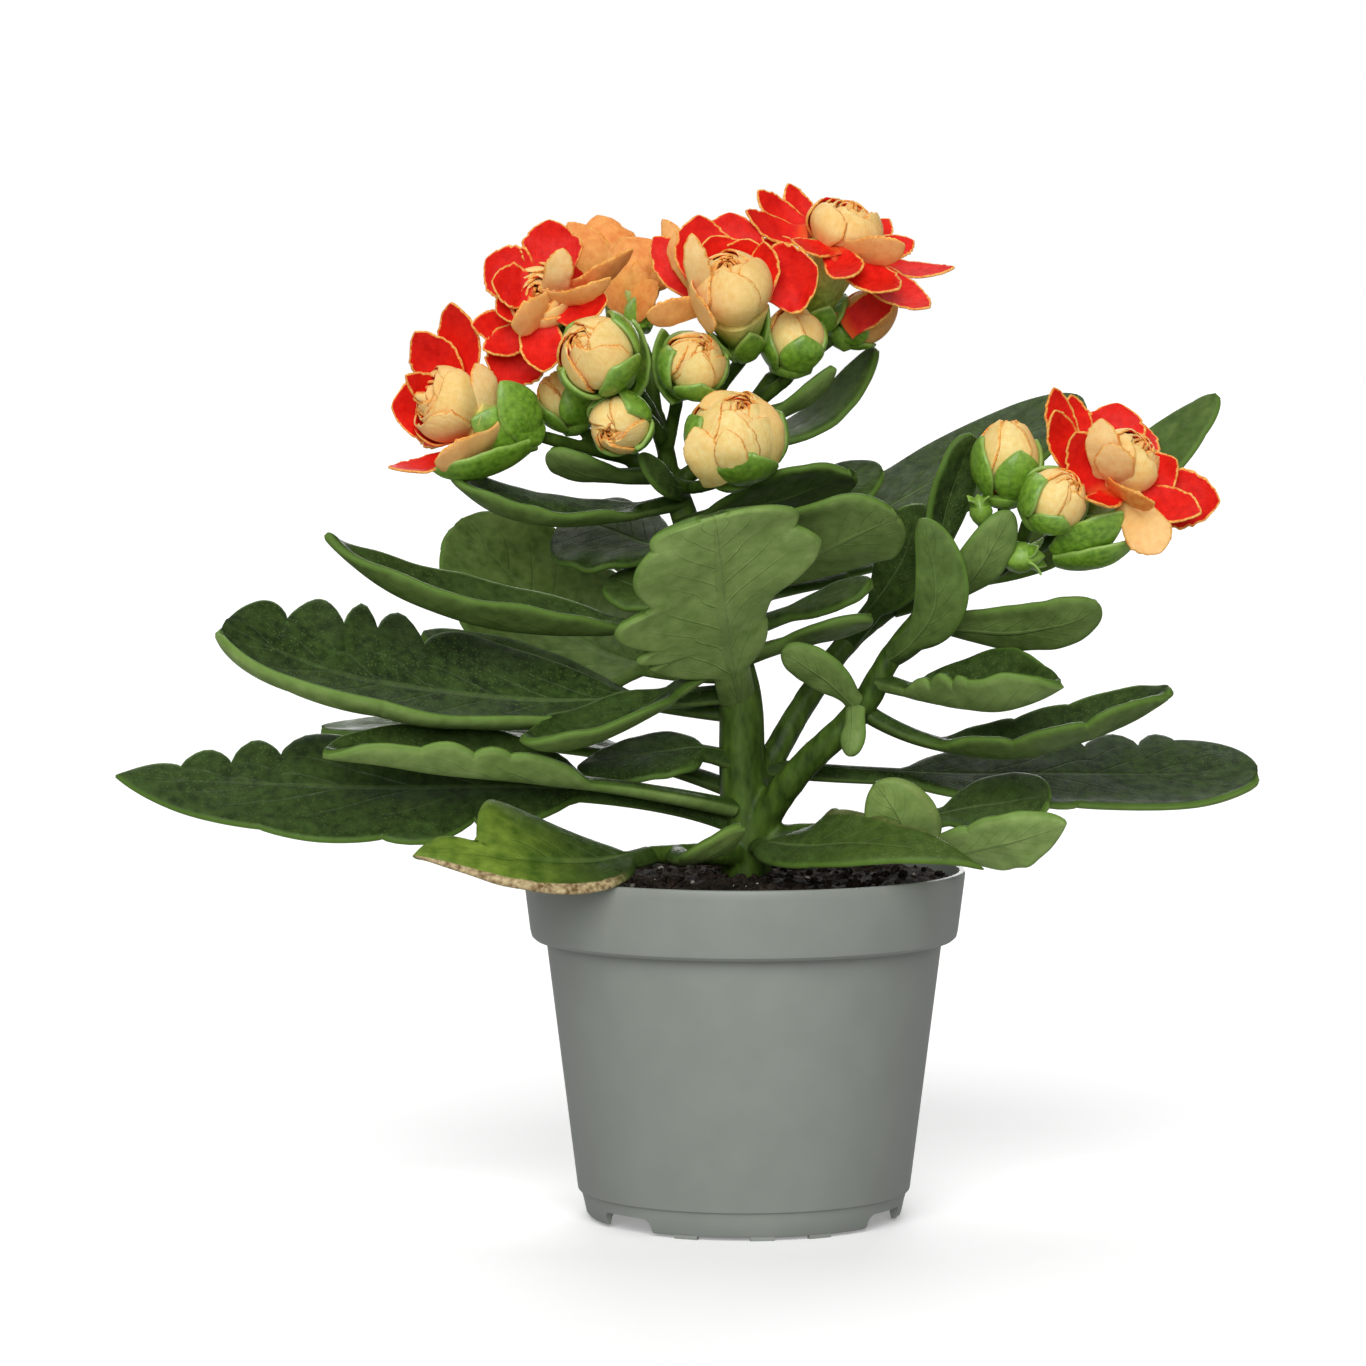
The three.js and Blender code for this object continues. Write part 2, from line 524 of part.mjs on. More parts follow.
// Buds: the middle, the way each points, its stalk as far as the cup, its radius and length
const BUDS = {
  left_large: {
    head: 'main', centre: [-19.8, -16.5, 117.3], facing: [-0.5, -0.75, 0.4],
    stalk: [[-11.5, -0.5, 107], [-13.5, -6, 111]],
    radius: 4.8, length: 10.5,
  },
  middle_upper: {
    head: 'main', centre: [-6.8, -12, 116], facing: [0.35, -0.75, 0.55],
    stalk: [[-10.6, -0.5, 104], [-9.5, -4, 109]],
    radius: 3.8, length: 8.6,
  },
  left_lower: {
    head: 'main', centre: [-16.8, -15, 107.8], facing: [-0.4, -0.8, -0.3],
    stalk: [[-10.6, -0.5, 104], [-12.5, -6, 108]],
    radius: 3.5, length: 7.5,
  },
  middle_low: {
    head: 'main', centre: [-1.3, -16, 106.7], facing: [0.15, -0.6, 0.75],
    stalk: [[-9.6, -0.5, 99.5], [-6, -6, 99.5]],
    radius: 5.8, length: 12,
  },
  right_upright: {
    head: 'main', centre: [6.4, -4, 119.5], facing: [0.05, -0.25, 0.95],
    stalk: [[1.4, 0.5, 110.5], [4, -1.5, 112.5]],
    radius: 3.7, length: 8.5,
  },
  left_rear: {
    head: 'main', centre: [-24.4, -4, 111.3], facing: [-0.5, -0.1, 0.8],
    stalk: [[-15, 0, 103], [-19, -1, 104.5]],
    radius: 3.2, length: 8,
  },
  right_red: {
    head: 'main', centre: [16.6, 6, 122.4], facing: [0.75, 0.2, 0.5], stalk: [[4, 0.5, 114], [8, 3, 116.5]],
    radius: 3.2, length: 9.5, red: true,
  },
  side_upper: {
    head: 'side', centre: [34.9, -9, 103.4], facing: [0.05, -0.15, 1],
    stalk: [[36, -7.5, 90], [35, -7.8, 93.5]],
    radius: 3.9, length: 11,
  },
  side_lower: {
    head: 'side', centre: [41.1, -15, 98.2], facing: [0.6, -0.6, 0.5],
    stalk: [[36, -7.5, 90], [37, -9.5, 92.5]],
    radius: 3.7, length: 8.5,
  },
};
const GREEN_BUDS = {
  lowest: {
    head: 'side', centre: [37.9, -12, 90.3], facing: [0.95, -0.25, 0.05],
    stalk: [[36, -7.5, 90], [35.3, -9.5, 89.9]],
    radius: 2.1, length: 5.5,
  },
  smallest: {
    head: 'side', centre: [31.2, -10, 97.4], facing: [-0.2, -0.2, 1],
    stalk: [[32, -7, 87.5], [31.8, -8.5, 91.5]],
    radius: 1.5, length: 4,
  },
};
const WRAP_PETALS = 5;
const WRAP_STEP = 0.1;
const WRAP_FULLNESS = 0.6;
const WRAP_TURN = deg(50);
const SEPALS = 4;
const SEPAL_ROWS = [0, 0.45];
const PETAL_ROWS = [0, 0.45, 0.85];
const PETAL_DISC = 1;

// A closed flower along +Z: petals wrapped over one another, each edge a step out of the round.
function wrapped(radius, length) {
  const rings = [0.14, 0.38, 0.64, 0.87];
  return drawnOut(rings, WRAP_PETALS * 3, (share, angle, isEnd) => {
    const petal = (WRAP_PETALS * (angle + WRAP_TURN * share)) / (Math.PI * 2);
    const over = 1 + WRAP_STEP * (petal - Math.floor(petal + 1e-6));
    const out = isEnd ? 0 : radius * Math.sin(Math.PI * share) ** WRAP_FULLNESS * over;
    return at(-out * Math.cos(angle), out * Math.sin(angle), share * length);
  });
}

// A ring or arc of petals or sepals round +Z, each along a path of [distance out, height].
function ringOf({ count, path, half, rows, spin = 0, arc = 360, cup = 0 }) {
  const [start, , end] = path;
  return Array.from({ length: count }, (_, i) => {
    const angle = deg(spin + (arc / count) * i);
    const standing = ([out, height]) => at(out * Math.cos(angle), out * Math.sin(angle), height);
    return blade({
      midrib: path.map(standing),
      face: standing([start[1] - end[1], end[0] - start[0]]),
      half: (share) => half * Math.sin(Math.PI * mix(0.05, 0.94, share ** 0.8)) ** 0.8,
      thickness: () => PETAL_THICKNESS,
      curl: [cup, cup],
      rows,
      sides: 4,
    });
  });
}

// The path of a petal that leans out from the axis by lean and bends further by bend to its tip.
function leaning([out, height], length, lean, bend) {
  const step = (from, angle) => [
    from[0] + (length / 2) * Math.sin(deg(angle)), from[1] + (length / 2) * Math.cos(deg(angle)),
  ];
  const middle = step([out, height], lean);
  return [[out, height], middle, step(middle, lean + bend)];
}

const lathed = (profile, sides = 6) => solidFrom(
  new THREE.LatheGeometry(profile.map(([x, y]) => new THREE.Vector2(x, y)), sides).rotateX(deg(90)),
);

// Calyx and pale funnel of an open flower
function funnel({ tube }) {
  const cone = lathed([[0, -0.5], [1.4, 0], [2.1, tube * 0.5], [3.2, tube], [0, tube]]);
  const path = leaning([1.5, 0.2], 6, 34, -12);
  return joined([cone, ...ringOf({ count: SEPALS, path, half: 2.2, rows: SEPAL_ROWS })]);
}

function openPetals({ tube, rings }) {
  const seat = tube + GAP;
  const disc = lathed([[0, seat], [2.8, seat], [2.8, seat + PETAL_DISC], [0, seat + PETAL_DISC]]);
  const petals = rings.flatMap(({ length, lean, bend, ...ring }) => ringOf({
    ...ring, path: leaning([2.2, seat + 0.5], length, lean, bend), cup: 12, rows: PETAL_ROWS,
  }));
  return joined([disc, ...petals]);
}

// The closed petals in the middle, on the disc that carries the open ones
const openHeart = ({ tube, heart: [radius, length] }) => (
  wrapped(radius, length).translate(0, 0, tube + PETAL_DISC + 2 * GAP)
);

// Cup under a bud, with sepals that lie close to it, and the wrapped bud itself on the cup
const BUD_SEAT = 0.5;

function budCup({ radius, length }) {
  const cup = lathed([[0, -0.8], [radius * 0.6, BUD_SEAT - 0.3], [radius * 0.5, BUD_SEAT], [0, BUD_SEAT]]);
  const outside = (share) => [
    radius * (1 + WRAP_STEP) * Math.sin(Math.PI * share) ** WRAP_FULLNESS + GAP + PETAL_THICKNESS / 2,
    BUD_SEAT + GAP + share * length,
  ];
  const path = [[radius * 0.45, BUD_SEAT - 0.2], outside(0.22), outside(0.5)];
  return joined([cup, ...ringOf({ count: SEPALS, path, half: radius * 0.5, rows: SEPAL_ROWS, spin: 20 })]);
}

const budBody = ({ radius, length }) => wrapped(radius, length).translate(0, 0, BUD_SEAT + GAP);

function greenBud({ radius, length }) {
  const body = lathed([
    [0, -0.4], [radius * 0.6, 0], [radius, length * 0.4], [radius * 0.6, length * 0.8], [0, length],
  ]);
  const path = leaning([radius * 0.5, length * 0.5], length * 0.5, 20, 35);
  return joined([body, ...ringOf({ count: SEPALS, path, half: radius * 0.4, rows: SEPAL_ROWS })]);
}

// Where a flower's own +Z axis starts, at the foot of its calyx
function footOf({ centre, facing, tube = 0, heart, length }) {
  const toCentre = heart ? tube + PETAL_DISC + 2 * GAP + heart[1] / 2 : BUD_SEAT + GAP + length / 2;
  return at(...centre).addScaledVector(at(...facing).normalize(), -toCentre);
}

const inPlace = (solid, flower) => placed(solid, footOf(flower), at(...flower.facing));

// The green of a flower head: stalks, calyces, funnels, green buds and small leaves, in one body
function headGreens(head, stemRoom) {
  const flowers = (all) => Object.values(all).filter((flower) => flower.head === head);
  const routes = HEAD_STALKS[head].map((points) => points.map((p) => at(...p)));
  for (const flower of [...flowers(BLOOMS), ...flowers(BUDS), ...flowers(GREEN_BUDS)]) {
    routes.push([...flower.stalk.map((p) => at(...p)), footOf(flower)]);
  }
  const greens = [
    ...routes.map((points) => stalk(points, points.map(() => FLOWER_STALK_RADIUS), { sides: 6, steps: 1 })),
    ...flowers(BLOOMS).map((flower) => inPlace(funnel(flower), flower)),
    ...flowers(BUDS).map((flower) => inPlace(budCup(flower), flower)),
    ...flowers(GREEN_BUDS).map((flower) => inPlace(greenBud(flower), flower)),
    ...smallLeaves(head),
  ];
  return largestBody(joined(greens).subtract(stemRoom));
}

const plant = new THREE.Group();
const add = (name, solid, material) => plant.add(meshFrom(name, solid, material));
const stemRoom = stemSolid(GAP);
add('pot', potSolid(), POT_GREY);
add('soil', soilSolid(), PEAT);
add('stem', joined([stemSolid(), ...smallLeaves('stem')]), STEM_GREEN);
for (const [name, leaf] of Object.entries(LEAVES)) {
  const material = name === 'yellowing' ? YELLOWING_GREEN : LEAF_GREEN;
  add(`leaf_${name}`, largestBody(leafSolid(leaf).subtract(stemRoom)), material);
}
for (const head of ['main', 'side']) {
  add(`${head}_head_stalks`, headGreens(head, stemRoom), CALYX_GREEN);
}
for (const [name, bloom] of Object.entries(BLOOMS)) {
  add(`bloom_${name}_petals`, largestBody(inPlace(openPetals(bloom), bloom)), PETAL_RED);
  add(`bloom_${name}_heart`, inPlace(openHeart(bloom), bloom), PETAL_CREAM);
}
for (const [name, bud] of Object.entries(BUDS)) {
  add(`bud_${name}`, inPlace(budBody(bud), bud), bud.red ? PETAL_RED : PETAL_CREAM);
}

export default plant;
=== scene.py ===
import math
import random

import bpy
import numpy as np
from mathutils import Matrix, Vector, noise


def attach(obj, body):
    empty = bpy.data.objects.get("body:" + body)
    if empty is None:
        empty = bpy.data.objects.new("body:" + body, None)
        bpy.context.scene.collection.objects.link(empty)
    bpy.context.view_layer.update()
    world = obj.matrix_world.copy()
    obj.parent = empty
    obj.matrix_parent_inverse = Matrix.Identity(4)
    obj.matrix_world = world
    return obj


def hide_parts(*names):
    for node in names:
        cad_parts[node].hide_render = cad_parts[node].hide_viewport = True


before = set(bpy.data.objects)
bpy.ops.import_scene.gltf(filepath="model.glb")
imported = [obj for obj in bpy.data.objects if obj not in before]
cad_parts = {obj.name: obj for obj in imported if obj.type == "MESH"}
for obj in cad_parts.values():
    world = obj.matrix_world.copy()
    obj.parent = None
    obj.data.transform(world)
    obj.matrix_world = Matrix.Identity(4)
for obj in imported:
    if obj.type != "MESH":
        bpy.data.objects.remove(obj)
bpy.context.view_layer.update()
bpy.ops.object.select_all(action="DESELECT")

# Pot: a nursery pot of thin grey-green plastic, injection moulded in one shot. A wider collar stands on
# the tapered wall, and the skirt under the floor has three arched drain slots and small feet.
MM = 0.001
POT_SIDES = 144
COLLAR_BOTTOM = 38
SKIRT_RADIUS = 21.4
FLOOR_BOTTOM = 2.5
FLOOR_TOP = 3.4
POT_PROFILE = [
    (0.5, FLOOR_TOP), (21, FLOOR_TOP), (21.6, FLOOR_TOP + 0.6), (26, 38.9), (28.1, 39.5), (29.05, 47.1),
    (29.25, 47.42), (29.6, 47.5), (29.88, 47.4), (30, 47), (29.92, 46.2), (29.05, 39.3), (28.85, 38.5),
    (28.4, 38.1), (27.9, COLLAR_BOTTOM), (27.1, COLLAR_BOTTOM), (26.85, 37.7), (22.62, 4.1), (22.55, 3.95),
    (22.2, 3.8), (21.9, 2.8), (21.45, 0.8), (21.1, 0.42), (20.55, 0.42), (20.2, FLOOR_BOTTOM),
    (5, FLOOR_BOTTOM), (4.9, 0.1), (4.7, 0), (0.5, 0),
]
DRAIN_SLOT_ANGLES = (-138, -28, 97)
FEET_ANGLES = (-112, -84, -62, 4, 35, 62, 130, 160)


def paint(red, green, blue):
    """A colour as the eye mixes it, 0 to 255, as the light values that a shader takes."""
    return tuple(((c / 255 + 0.055) / 1.055) ** 2.4 for c in (red, green, blue)) + (1.0,)


def start_material(name, **sockets):
    """A new material, its nodes, its shader, and the place on the piece in metres."""
    material = bpy.data.materials.new(name)
    material.use_nodes = True
    tree = material.node_tree
    shader = tree.nodes["Principled BSDF"]
    for socket, value in sockets.items():
        shader.inputs[socket.replace("_", " ")].default_value = value
    return material, tree, shader, add_node(tree, "TexCoord").outputs["Object"]


def add_node(tree, kind, inputs=None, **settings):
    """A node whose inputs are values or the sockets that feed them."""
    made = tree.nodes.new("ShaderNode" + kind)
    for key, value in settings.items():
        setattr(made, key, value)
    for key, value in (inputs or {}).items():
        if isinstance(value, bpy.types.NodeSocket):
            tree.links.new(value, made.inputs[key])
        else:
            made.inputs[key].default_value = value
    return made


def new_group(name, inputs, outputs):
    """A node group with named inputs (type and start value) and outputs."""
    group = bpy.data.node_groups.new(name, "ShaderNodeTree")
    for socket, (kind, value) in inputs.items():
        made = group.interface.new_socket(socket, in_out="INPUT", socket_type="NodeSocket" + kind)
        if value is not None:
            made.default_value = value
    for socket, kind in outputs.items():
        group.interface.new_socket(socket, in_out="OUTPUT", socket_type="NodeSocket" + kind)
    return group, group.nodes.new("NodeGroupInput"), group.nodes.new("NodeGroupOutput")


# Mottling: two colours mixed by soft noise at one size and a finer noise at four times that.
mottling, given, result = new_group(
    "mottling",
    {"Vector": ("Vector", None), "Dark": ("Color", None), "Light": ("Color", None), "Scale": ("Float", 100.0),
     "Contrast": ("Float", 1.0)},
    {"Color": "Color", "Mask": "Float"},
)
place, scale = given.outputs["Vector"], given.outputs["Scale"]
coarse = add_node(mottling, "TexNoise", {"Vector": place, "Scale": scale, "Detail": 4.0, "Roughness": 0.6})
finer = add_node(mottling, "Math", {0: scale, 1: 4.0}, operation="MULTIPLY")
fine = add_node(mottling, "TexNoise", {"Vector": place, "Scale": finer.outputs[0], "Detail": 2.0})
both = add_node(mottling, "Math", {0: coarse.outputs["Fac"], 1: fine.outputs["Fac"]}, operation="ADD")
middle = add_node(mottling, "Math", {0: both.outputs[0], 1: -1.0}, operation="ADD")
spread = add_node(mottling, "Math", {0: middle.outputs[0], 1: given.outputs["Contrast"], 2: 0.5},
                  operation="MULTIPLY_ADD", use_clamp=True)
mixed = add_node(mottling, "Mix", {0: spread.outputs[0], 6: given.outputs["Dark"], 7: given.outputs["Light"]},
                 data_type="RGBA")
mottling.links.new(mixed.outputs[2], result.inputs["Color"])
mottling.links.new(spread.outputs[0], result.inputs["Mask"])

# Fine grain: a bump of small soft pebbles, as on moulded plastic, plant skin and petals.
fine_grain, given, result = new_group(
    "fine grain", {"Vector": ("Vector", None), "Scale": ("Float", 1000.0), "Strength": ("Float", 0.2),
                   "Depth": ("Float", 0.0001)},
    {"Normal": "Vector"},
)
pebbles = add_node(fine_grain, "TexNoise", {"Vector": given.outputs["Vector"], "Scale": given.outputs["Scale"],
                                            "Detail": 3.0, "Roughness": 0.55})
raised = add_node(fine_grain, "Bump", {"Strength": given.outputs["Strength"], "Distance": given.outputs["Depth"],
                                       "Height": pebbles.outputs["Fac"]})
fine_grain.links.new(raised.outputs["Normal"], result.inputs["Normal"])


def use_group(tree, group, **inputs):
    """One of the shared node groups, with its own values in this material."""
    return add_node(tree, "Group", inputs, node_tree=group)


def mottled(tree, spot, dark, light, scale, contrast=1.0):
    """Two colours, 0 to 255, mottled over a piece."""
    return use_group(tree, mottling, Vector=spot, Dark=paint(*dark), Light=paint(*light), Scale=scale,
                     Contrast=contrast).outputs["Color"]


def pored(tree, spot, scale, strength, depth):
    """The normals of a finely grained skin."""
    return use_group(tree, fine_grain, Vector=spot, Scale=scale, Strength=strength, Depth=depth).outputs["Normal"]


def feed(tree, shader, **sockets):
    """Links what varies over a piece to its shader."""
    for socket, value in sockets.items():
        tree.links.new(value, shader.inputs[socket.replace("_", " ")])


def finish_piece(piece, slot, material, *nodes):
    """The piece takes its material and stands for its CAD nodes on the one body."""
    piece.data.materials.clear()
    piece.data.materials.append(material)
    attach(piece, "root")
    if nodes:
        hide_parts(*nodes)


def apply_modifier(piece, kind, **settings):
    """Adds a modifier to the piece and applies it."""
    bpy.context.view_layer.objects.active = piece
    modifier = piece.modifiers.new(kind.title(), kind)
    for key, value in settings.items():
        setattr(modifier, key, value)
    bpy.ops.object.modifier_apply(modifier=modifier.name)


def pick(*pieces):
    """Selects these pieces only, with the first one active."""
    bpy.ops.object.select_all(action="DESELECT")
    for piece in pieces:
        piece.select_set(True)
    bpy.context.view_layer.objects.active = pieces[0]


def smooth(piece, angle):
    """Shades the piece smooth, with its sharp edges kept."""
    pick(piece)
    bpy.ops.object.shade_smooth_by_angle(angle=math.radians(angle))


def turned(name, profile, sides):
    """A turned piece: a small circle extruded and widened from ring to ring, then closed at both ends."""
    radius, height = profile[0]
    bpy.ops.mesh.primitive_circle_add(vertices=sides, radius=radius * MM, location=(0, 0, height * MM))
    piece = bpy.context.object
    piece.name = name
    bpy.ops.object.transform_apply()
    bpy.ops.object.mode_set(mode="EDIT")
    bpy.ops.mesh.select_all(action="SELECT")
    for (was, low), (radius, high) in zip(profile, profile[1:]):
        bpy.ops.mesh.extrude_edges_move(TRANSFORM_OT_translate={"value": (0, 0, (high - low) * MM)})
        share = radius / was
        bpy.ops.transform.resize(value=(share, share, 1), center_override=(0, 0, 0))
    bpy.ops.mesh.select_all(action="DESELECT")
    bpy.ops.mesh.select_non_manifold()
    bpy.ops.mesh.fill_holes(sides=0)
    bpy.ops.mesh.select_all(action="SELECT")
    bpy.ops.mesh.normals_make_consistent(inside=False)
    bpy.ops.object.mode_set(mode="OBJECT")
    return piece


def block(size, place, angle, rounding=0):
    """A cube at its size, with its two upper edges rounded, turned round the pot's axis."""
    bpy.ops.mesh.primitive_cube_add(size=MM, location=[c * MM for c in place], scale=size)
    piece = bpy.context.object
    bpy.ops.object.transform_apply()
    if rounding:
        top = place[2] * MM + size[2] * MM / 2 - 1e-6
        for edge in piece.data.edges:
            ends = [piece.data.vertices[i].co for i in edge.vertices]
            edge.select = all(end.z > top for end in ends) and abs(ends[0].y - ends[1].y) < 1e-6
        bpy.ops.object.mode_set(mode="EDIT")
        bpy.ops.mesh.select_mode(type="EDGE")
        bpy.ops.mesh.bevel(offset=rounding * MM, segments=5)
        bpy.ops.object.mode_set(mode="OBJECT")
    piece.data.transform(Matrix.Rotation(math.radians(angle), 4, "Z"))
    return piece


pot = turned("nursery_pot", POT_PROFILE, POT_SIDES)
for angle in DRAIN_SLOT_ANGLES:
    for size, place, rounding in (
        ((6, 9.2, 4.6), (SKIRT_RADIUS - 1, 0, 0), 1.3),
        ((3, 6, 4), (SKIRT_RADIUS - 3.2, 0, FLOOR_BOTTOM), 0),
    ):
        cutter = block(size, place, angle, rounding)
        apply_modifier(pot, "BOOLEAN", object=cutter, operation="DIFFERENCE", solver="EXACT")
        bpy.data.objects.remove(cutter)
for angle in FEET_ANGLES:
    foot = block((0.7, 3.2, 1), (SKIRT_RADIUS - 0.55, 0, 0.5), angle)
    apply_modifier(pot, "BOOLEAN", object=foot, operation="UNION", solver="EXACT")
    bpy.data.objects.remove(foot)
smooth(pot, 30)

pot_plastic, tree, shader, spot = start_material("satin grey-green pot plastic", Specular_IOR_Level=0.45)
tint = use_group(tree, mottling, Vector=spot, Dark=paint(136, 141, 134), Light=paint(143, 148, 141), Scale=45.0,
                 Contrast=1.2)
wear = add_node(tree, "MapRange", {"Value": tint.outputs["Mask"], "To Min": 0.38, "To Max": 0.48})
feed(tree, shader, Base_Color=tint.outputs["Color"], Roughness=wear.outputs["Result"],
     Normal=pored(tree, spot, 900.0, 0.12, 0.00008))
finish_piece(pot, "pot_plastic", pot_plastic, "pot")

# Peat: dark milled peat filled to just under the rim, crumbled on top, with grains of white perlite.
SOIL_TOP = 46.2
SOIL_SIDES = 160
CRUMBS = 620
PERLITE_GRAINS = 34
STREWN_RADIUS = 27.6
random.seed(7)

peat = turned(
    "peat",
    [(0.3, 3.8), (20.6, 3.8), (25.5, 39.2), (27.5, 40), (28.3, SOIL_TOP - 0.9)]
    + [(28 - 0.6 * i, SOIL_TOP) for i in range(46)],
    SOIL_SIDES,
)
top = (SOIL_TOP - 0.1) * MM


def peat_height(x, y):
    """The crumbled top of the peat, higher round the stem and level at the rim, in metres."""
    lumps = noise.noise(Vector((x, y, 0)) * 170) * 0.7 + noise.noise(Vector((x, y, 3)) * 600) * 0.55
    lumps += noise.noise(Vector((x, y, 6)) * 1500) * 0.3
    return (SOIL_TOP + lumps + 0.7 * math.exp(-(x * x + y * y) / 9e-5)) * MM


for vertex in peat.data.vertices:
    if vertex.co.z > top:
        vertex.co.z = peat_height(vertex.co.x, vertex.co.y)
smooth(peat, 60)


def scattered(name, count, sizes):
    """Small angular grains that lie on the peat, each a squashed and turned copy of one grain."""
    bpy.ops.mesh.primitive_ico_sphere_add(subdivisions=1, radius=MM / 2)
    grain = bpy.context.object
    bpy.ops.object.select_all(action="DESELECT")
    for _ in range(count):
        out = STREWN_RADIUS * math.sqrt(random.random())
        around = random.uniform(0, 2 * math.pi)
        x, y = out * math.cos(around) * MM, out * math.sin(around) * MM
        size = random.uniform(*sizes) * random.choice((1, 1, 1.6))
        copy = grain.copy()
        copy.data = grain.data.copy()
        turn = Matrix.Rotation(random.uniform(0, 6), 4, Vector((random.random(), random.random(), 0.3)).normalized())
        squash = Matrix.Diagonal((size, size * random.uniform(0.6, 1), size * random.uniform(0.4, 0.8), 1))
        copy.data.transform(Matrix.Translation((x, y, peat_height(x, y) + size * 0.15 * MM)) @ turn @ squash)
        bpy.context.collection.objects.link(copy)
        copy.select_set(True)
    bpy.context.view_layer.objects.active = copy
    bpy.data.objects.remove(grain)
    bpy.ops.object.join()
    copy.name = name
    return copy


crumbs = scattered("peat_crumbs", CRUMBS, (0.5, 1.3))
perlite = scattered("perlite_grains", PERLITE_GRAINS, (0.4, 0.9))

peat_brown, tree, shader, spot = start_material("moist black-brown peat", Roughness=0.9, Specular_IOR_Level=0.25)
feed(tree, shader, Base_Color=mottled(tree, spot, (16, 12, 9), (56, 44, 34), 420.0, 2.2),
     Normal=pored(tree, spot, 1800.0, 0.9, 0.0003))
finish_piece(peat, "peat", peat_brown, "soil")
finish_piece(crumbs, "peat", peat_brown)

perlite_white, tree, shader, spot = start_material("chalky perlite", Roughness=0.85)
feed(tree, shader, Base_Color=mottled(tree, spot, (150, 142, 128), (214, 208, 196), 900.0))
finish_piece(perlite, "peat", perlite_white)

# Stem: a thick fleshy green stem that leans left as it rises, and four side branches. They are one
# plant, so the branches run into the stem with soft shoulders.
MAIN_STEM = {
    "points": [(0.5, 0, 30), (0.3, 0, 47), (-0.3, 0, 62), (-0.8, 0, 72), (-4.4, 0, 84), (-8, 0, 95), (-9.6, 0, 99.5)],
    "radii": [3.4, 3.5, 3.2, 3, 2.3, 1.9, 1.7],
}
BRANCHES = [
    {"points": [(0.6, -1, 50), (2.4, -1.5, 54), (7.5, -4, 61.2), (15.5, -6, 69.5), (19.5, -7, 76.5), (26.5, -6, 85.5)],
     "radii": [2.4, 2.3, 2, 1.9, 1.6, 1.3]},
    {"points": [(0.5, 0.5, 57), (3.3, 2, 61.4), (8.5, 5, 70), (14.5, 8, 78), (21, 10, 83)],
     "radii": [2, 1.9, 1.7, 1.6, 1.3]},
    {"points": [(1, -1, 51), (9, -3, 52.3), (17, -7, 52), (24, -11, 50.8)], "radii": [1.9, 1.7, 1.5, 1.2]},
    {"points": [(0, -1, 49.5), (-7, -8, 50.2), (-13, -13, 50.6)], "radii": [1.8, 1.5, 1.2]},
]


def stalk(points, radii):
    """A round stalk through its points, with a radius at each: a thickened curve turned into a mesh."""
    curve = bpy.data.curves.new("stalk", "CURVE")
    curve.dimensions = "3D"
    curve.bevel_depth = MM
    curve.bevel_resolution = 5
    curve.resolution_u = 10
    curve.use_fill_caps = True
    spline = curve.splines.new("BEZIER")
    spline.bezier_points.add(len(points) - 1)
    for knot, point, radius in zip(spline.bezier_points, points, radii):
        knot.co = [c * MM for c in point]
        knot.radius = radius
        knot.handle_left_type = knot.handle_right_type = "AUTO"
    piece = bpy.data.objects.new("stalk", curve)
    bpy.context.collection.objects.link(piece)
    pick(piece)
    bpy.ops.object.convert(target="MESH")
    return bpy.context.object


def as_one(name, pieces):
    """The pieces joined in one object."""
    pick(*pieces)
    if len(pieces) > 1:
        bpy.ops.object.join()
    pieces[0].name = pieces[0].data.name = name
    return pieces[0]


def grown_together(name, stalks, voxel, ridges):
    """Stalks fused with soft shoulders, their skin ridged lengthwise by a noise drawn out along Z."""
    piece = as_one(name, stalks)
    apply_modifier(piece, "REMESH", mode="VOXEL", voxel_size=voxel * MM)
    apply_modifier(piece, "SMOOTH", factor=0.6, iterations=6)
    vertices = piece.data.vertices
    places, facings = np.empty(len(vertices) * 3), np.empty(len(vertices) * 3)
    vertices.foreach_get("co", places)
    vertices.foreach_get("normal", facings)
    drawn_out = places.reshape(-1, 3) * (900, 900, 90)
    ridge = np.array([noise.noise(Vector(place)) for place in drawn_out]) * ridges * MM
    vertices.foreach_set("co", places + facings * np.repeat(ridge, 3))
    smooth(piece, 180)
    return piece


stem = grown_together("stem_and_branches", [stalk(**part) for part in (MAIN_STEM, *BRANCHES)], 0.32, 0.09)

stem_green, tree, shader, spot = start_material("fleshy stem skin", Roughness=0.42, Specular_IOR_Level=0.15)
lengthwise = add_node(tree, "Mapping", {"Vector": spot, "Scale": (1.0, 1.0, 0.4)}).outputs["Vector"]
feed(tree, shader, Base_Color=mottled(tree, lengthwise, (34, 54, 12), (80, 106, 38), 170.0, 1.4),
     Normal=pored(tree, lengthwise, 1600.0, 0.35, 0.0002))
finish_piece(stem, "stem_green", stem_green, "stem")

# Leaves: fleshy leaves with round scalloped teeth, thick as card, dark and dusty on top and paler grey-green
# under. Each grows from the stem on a short flat stalk; some fold along the midrib or roll up at an edge.
LEAF_THICKNESS = 1.5
LEAF_STALK_THICKNESS = 2.6
LEAF_STALK_HALF_WIDTH = 1.6
LEAF_RIPPLE = 0.9
TEETH_FROM = 0.3
TEETH_TO = 0.94


def leaf_row(midrib, face, half, tone=(0.3, 0.5), dry=0, stalk=0.2, **shape):
    """A leaf: its midrib from root to tip, the way its top faces, the width of its left and right halves,
    how light its top and its underside are, how dry its edge is, and the share of it that is stalk."""
    return dict(shape, midrib=midrib, face=face, half=half, tone=(*tone, dry), stalk=stalk)


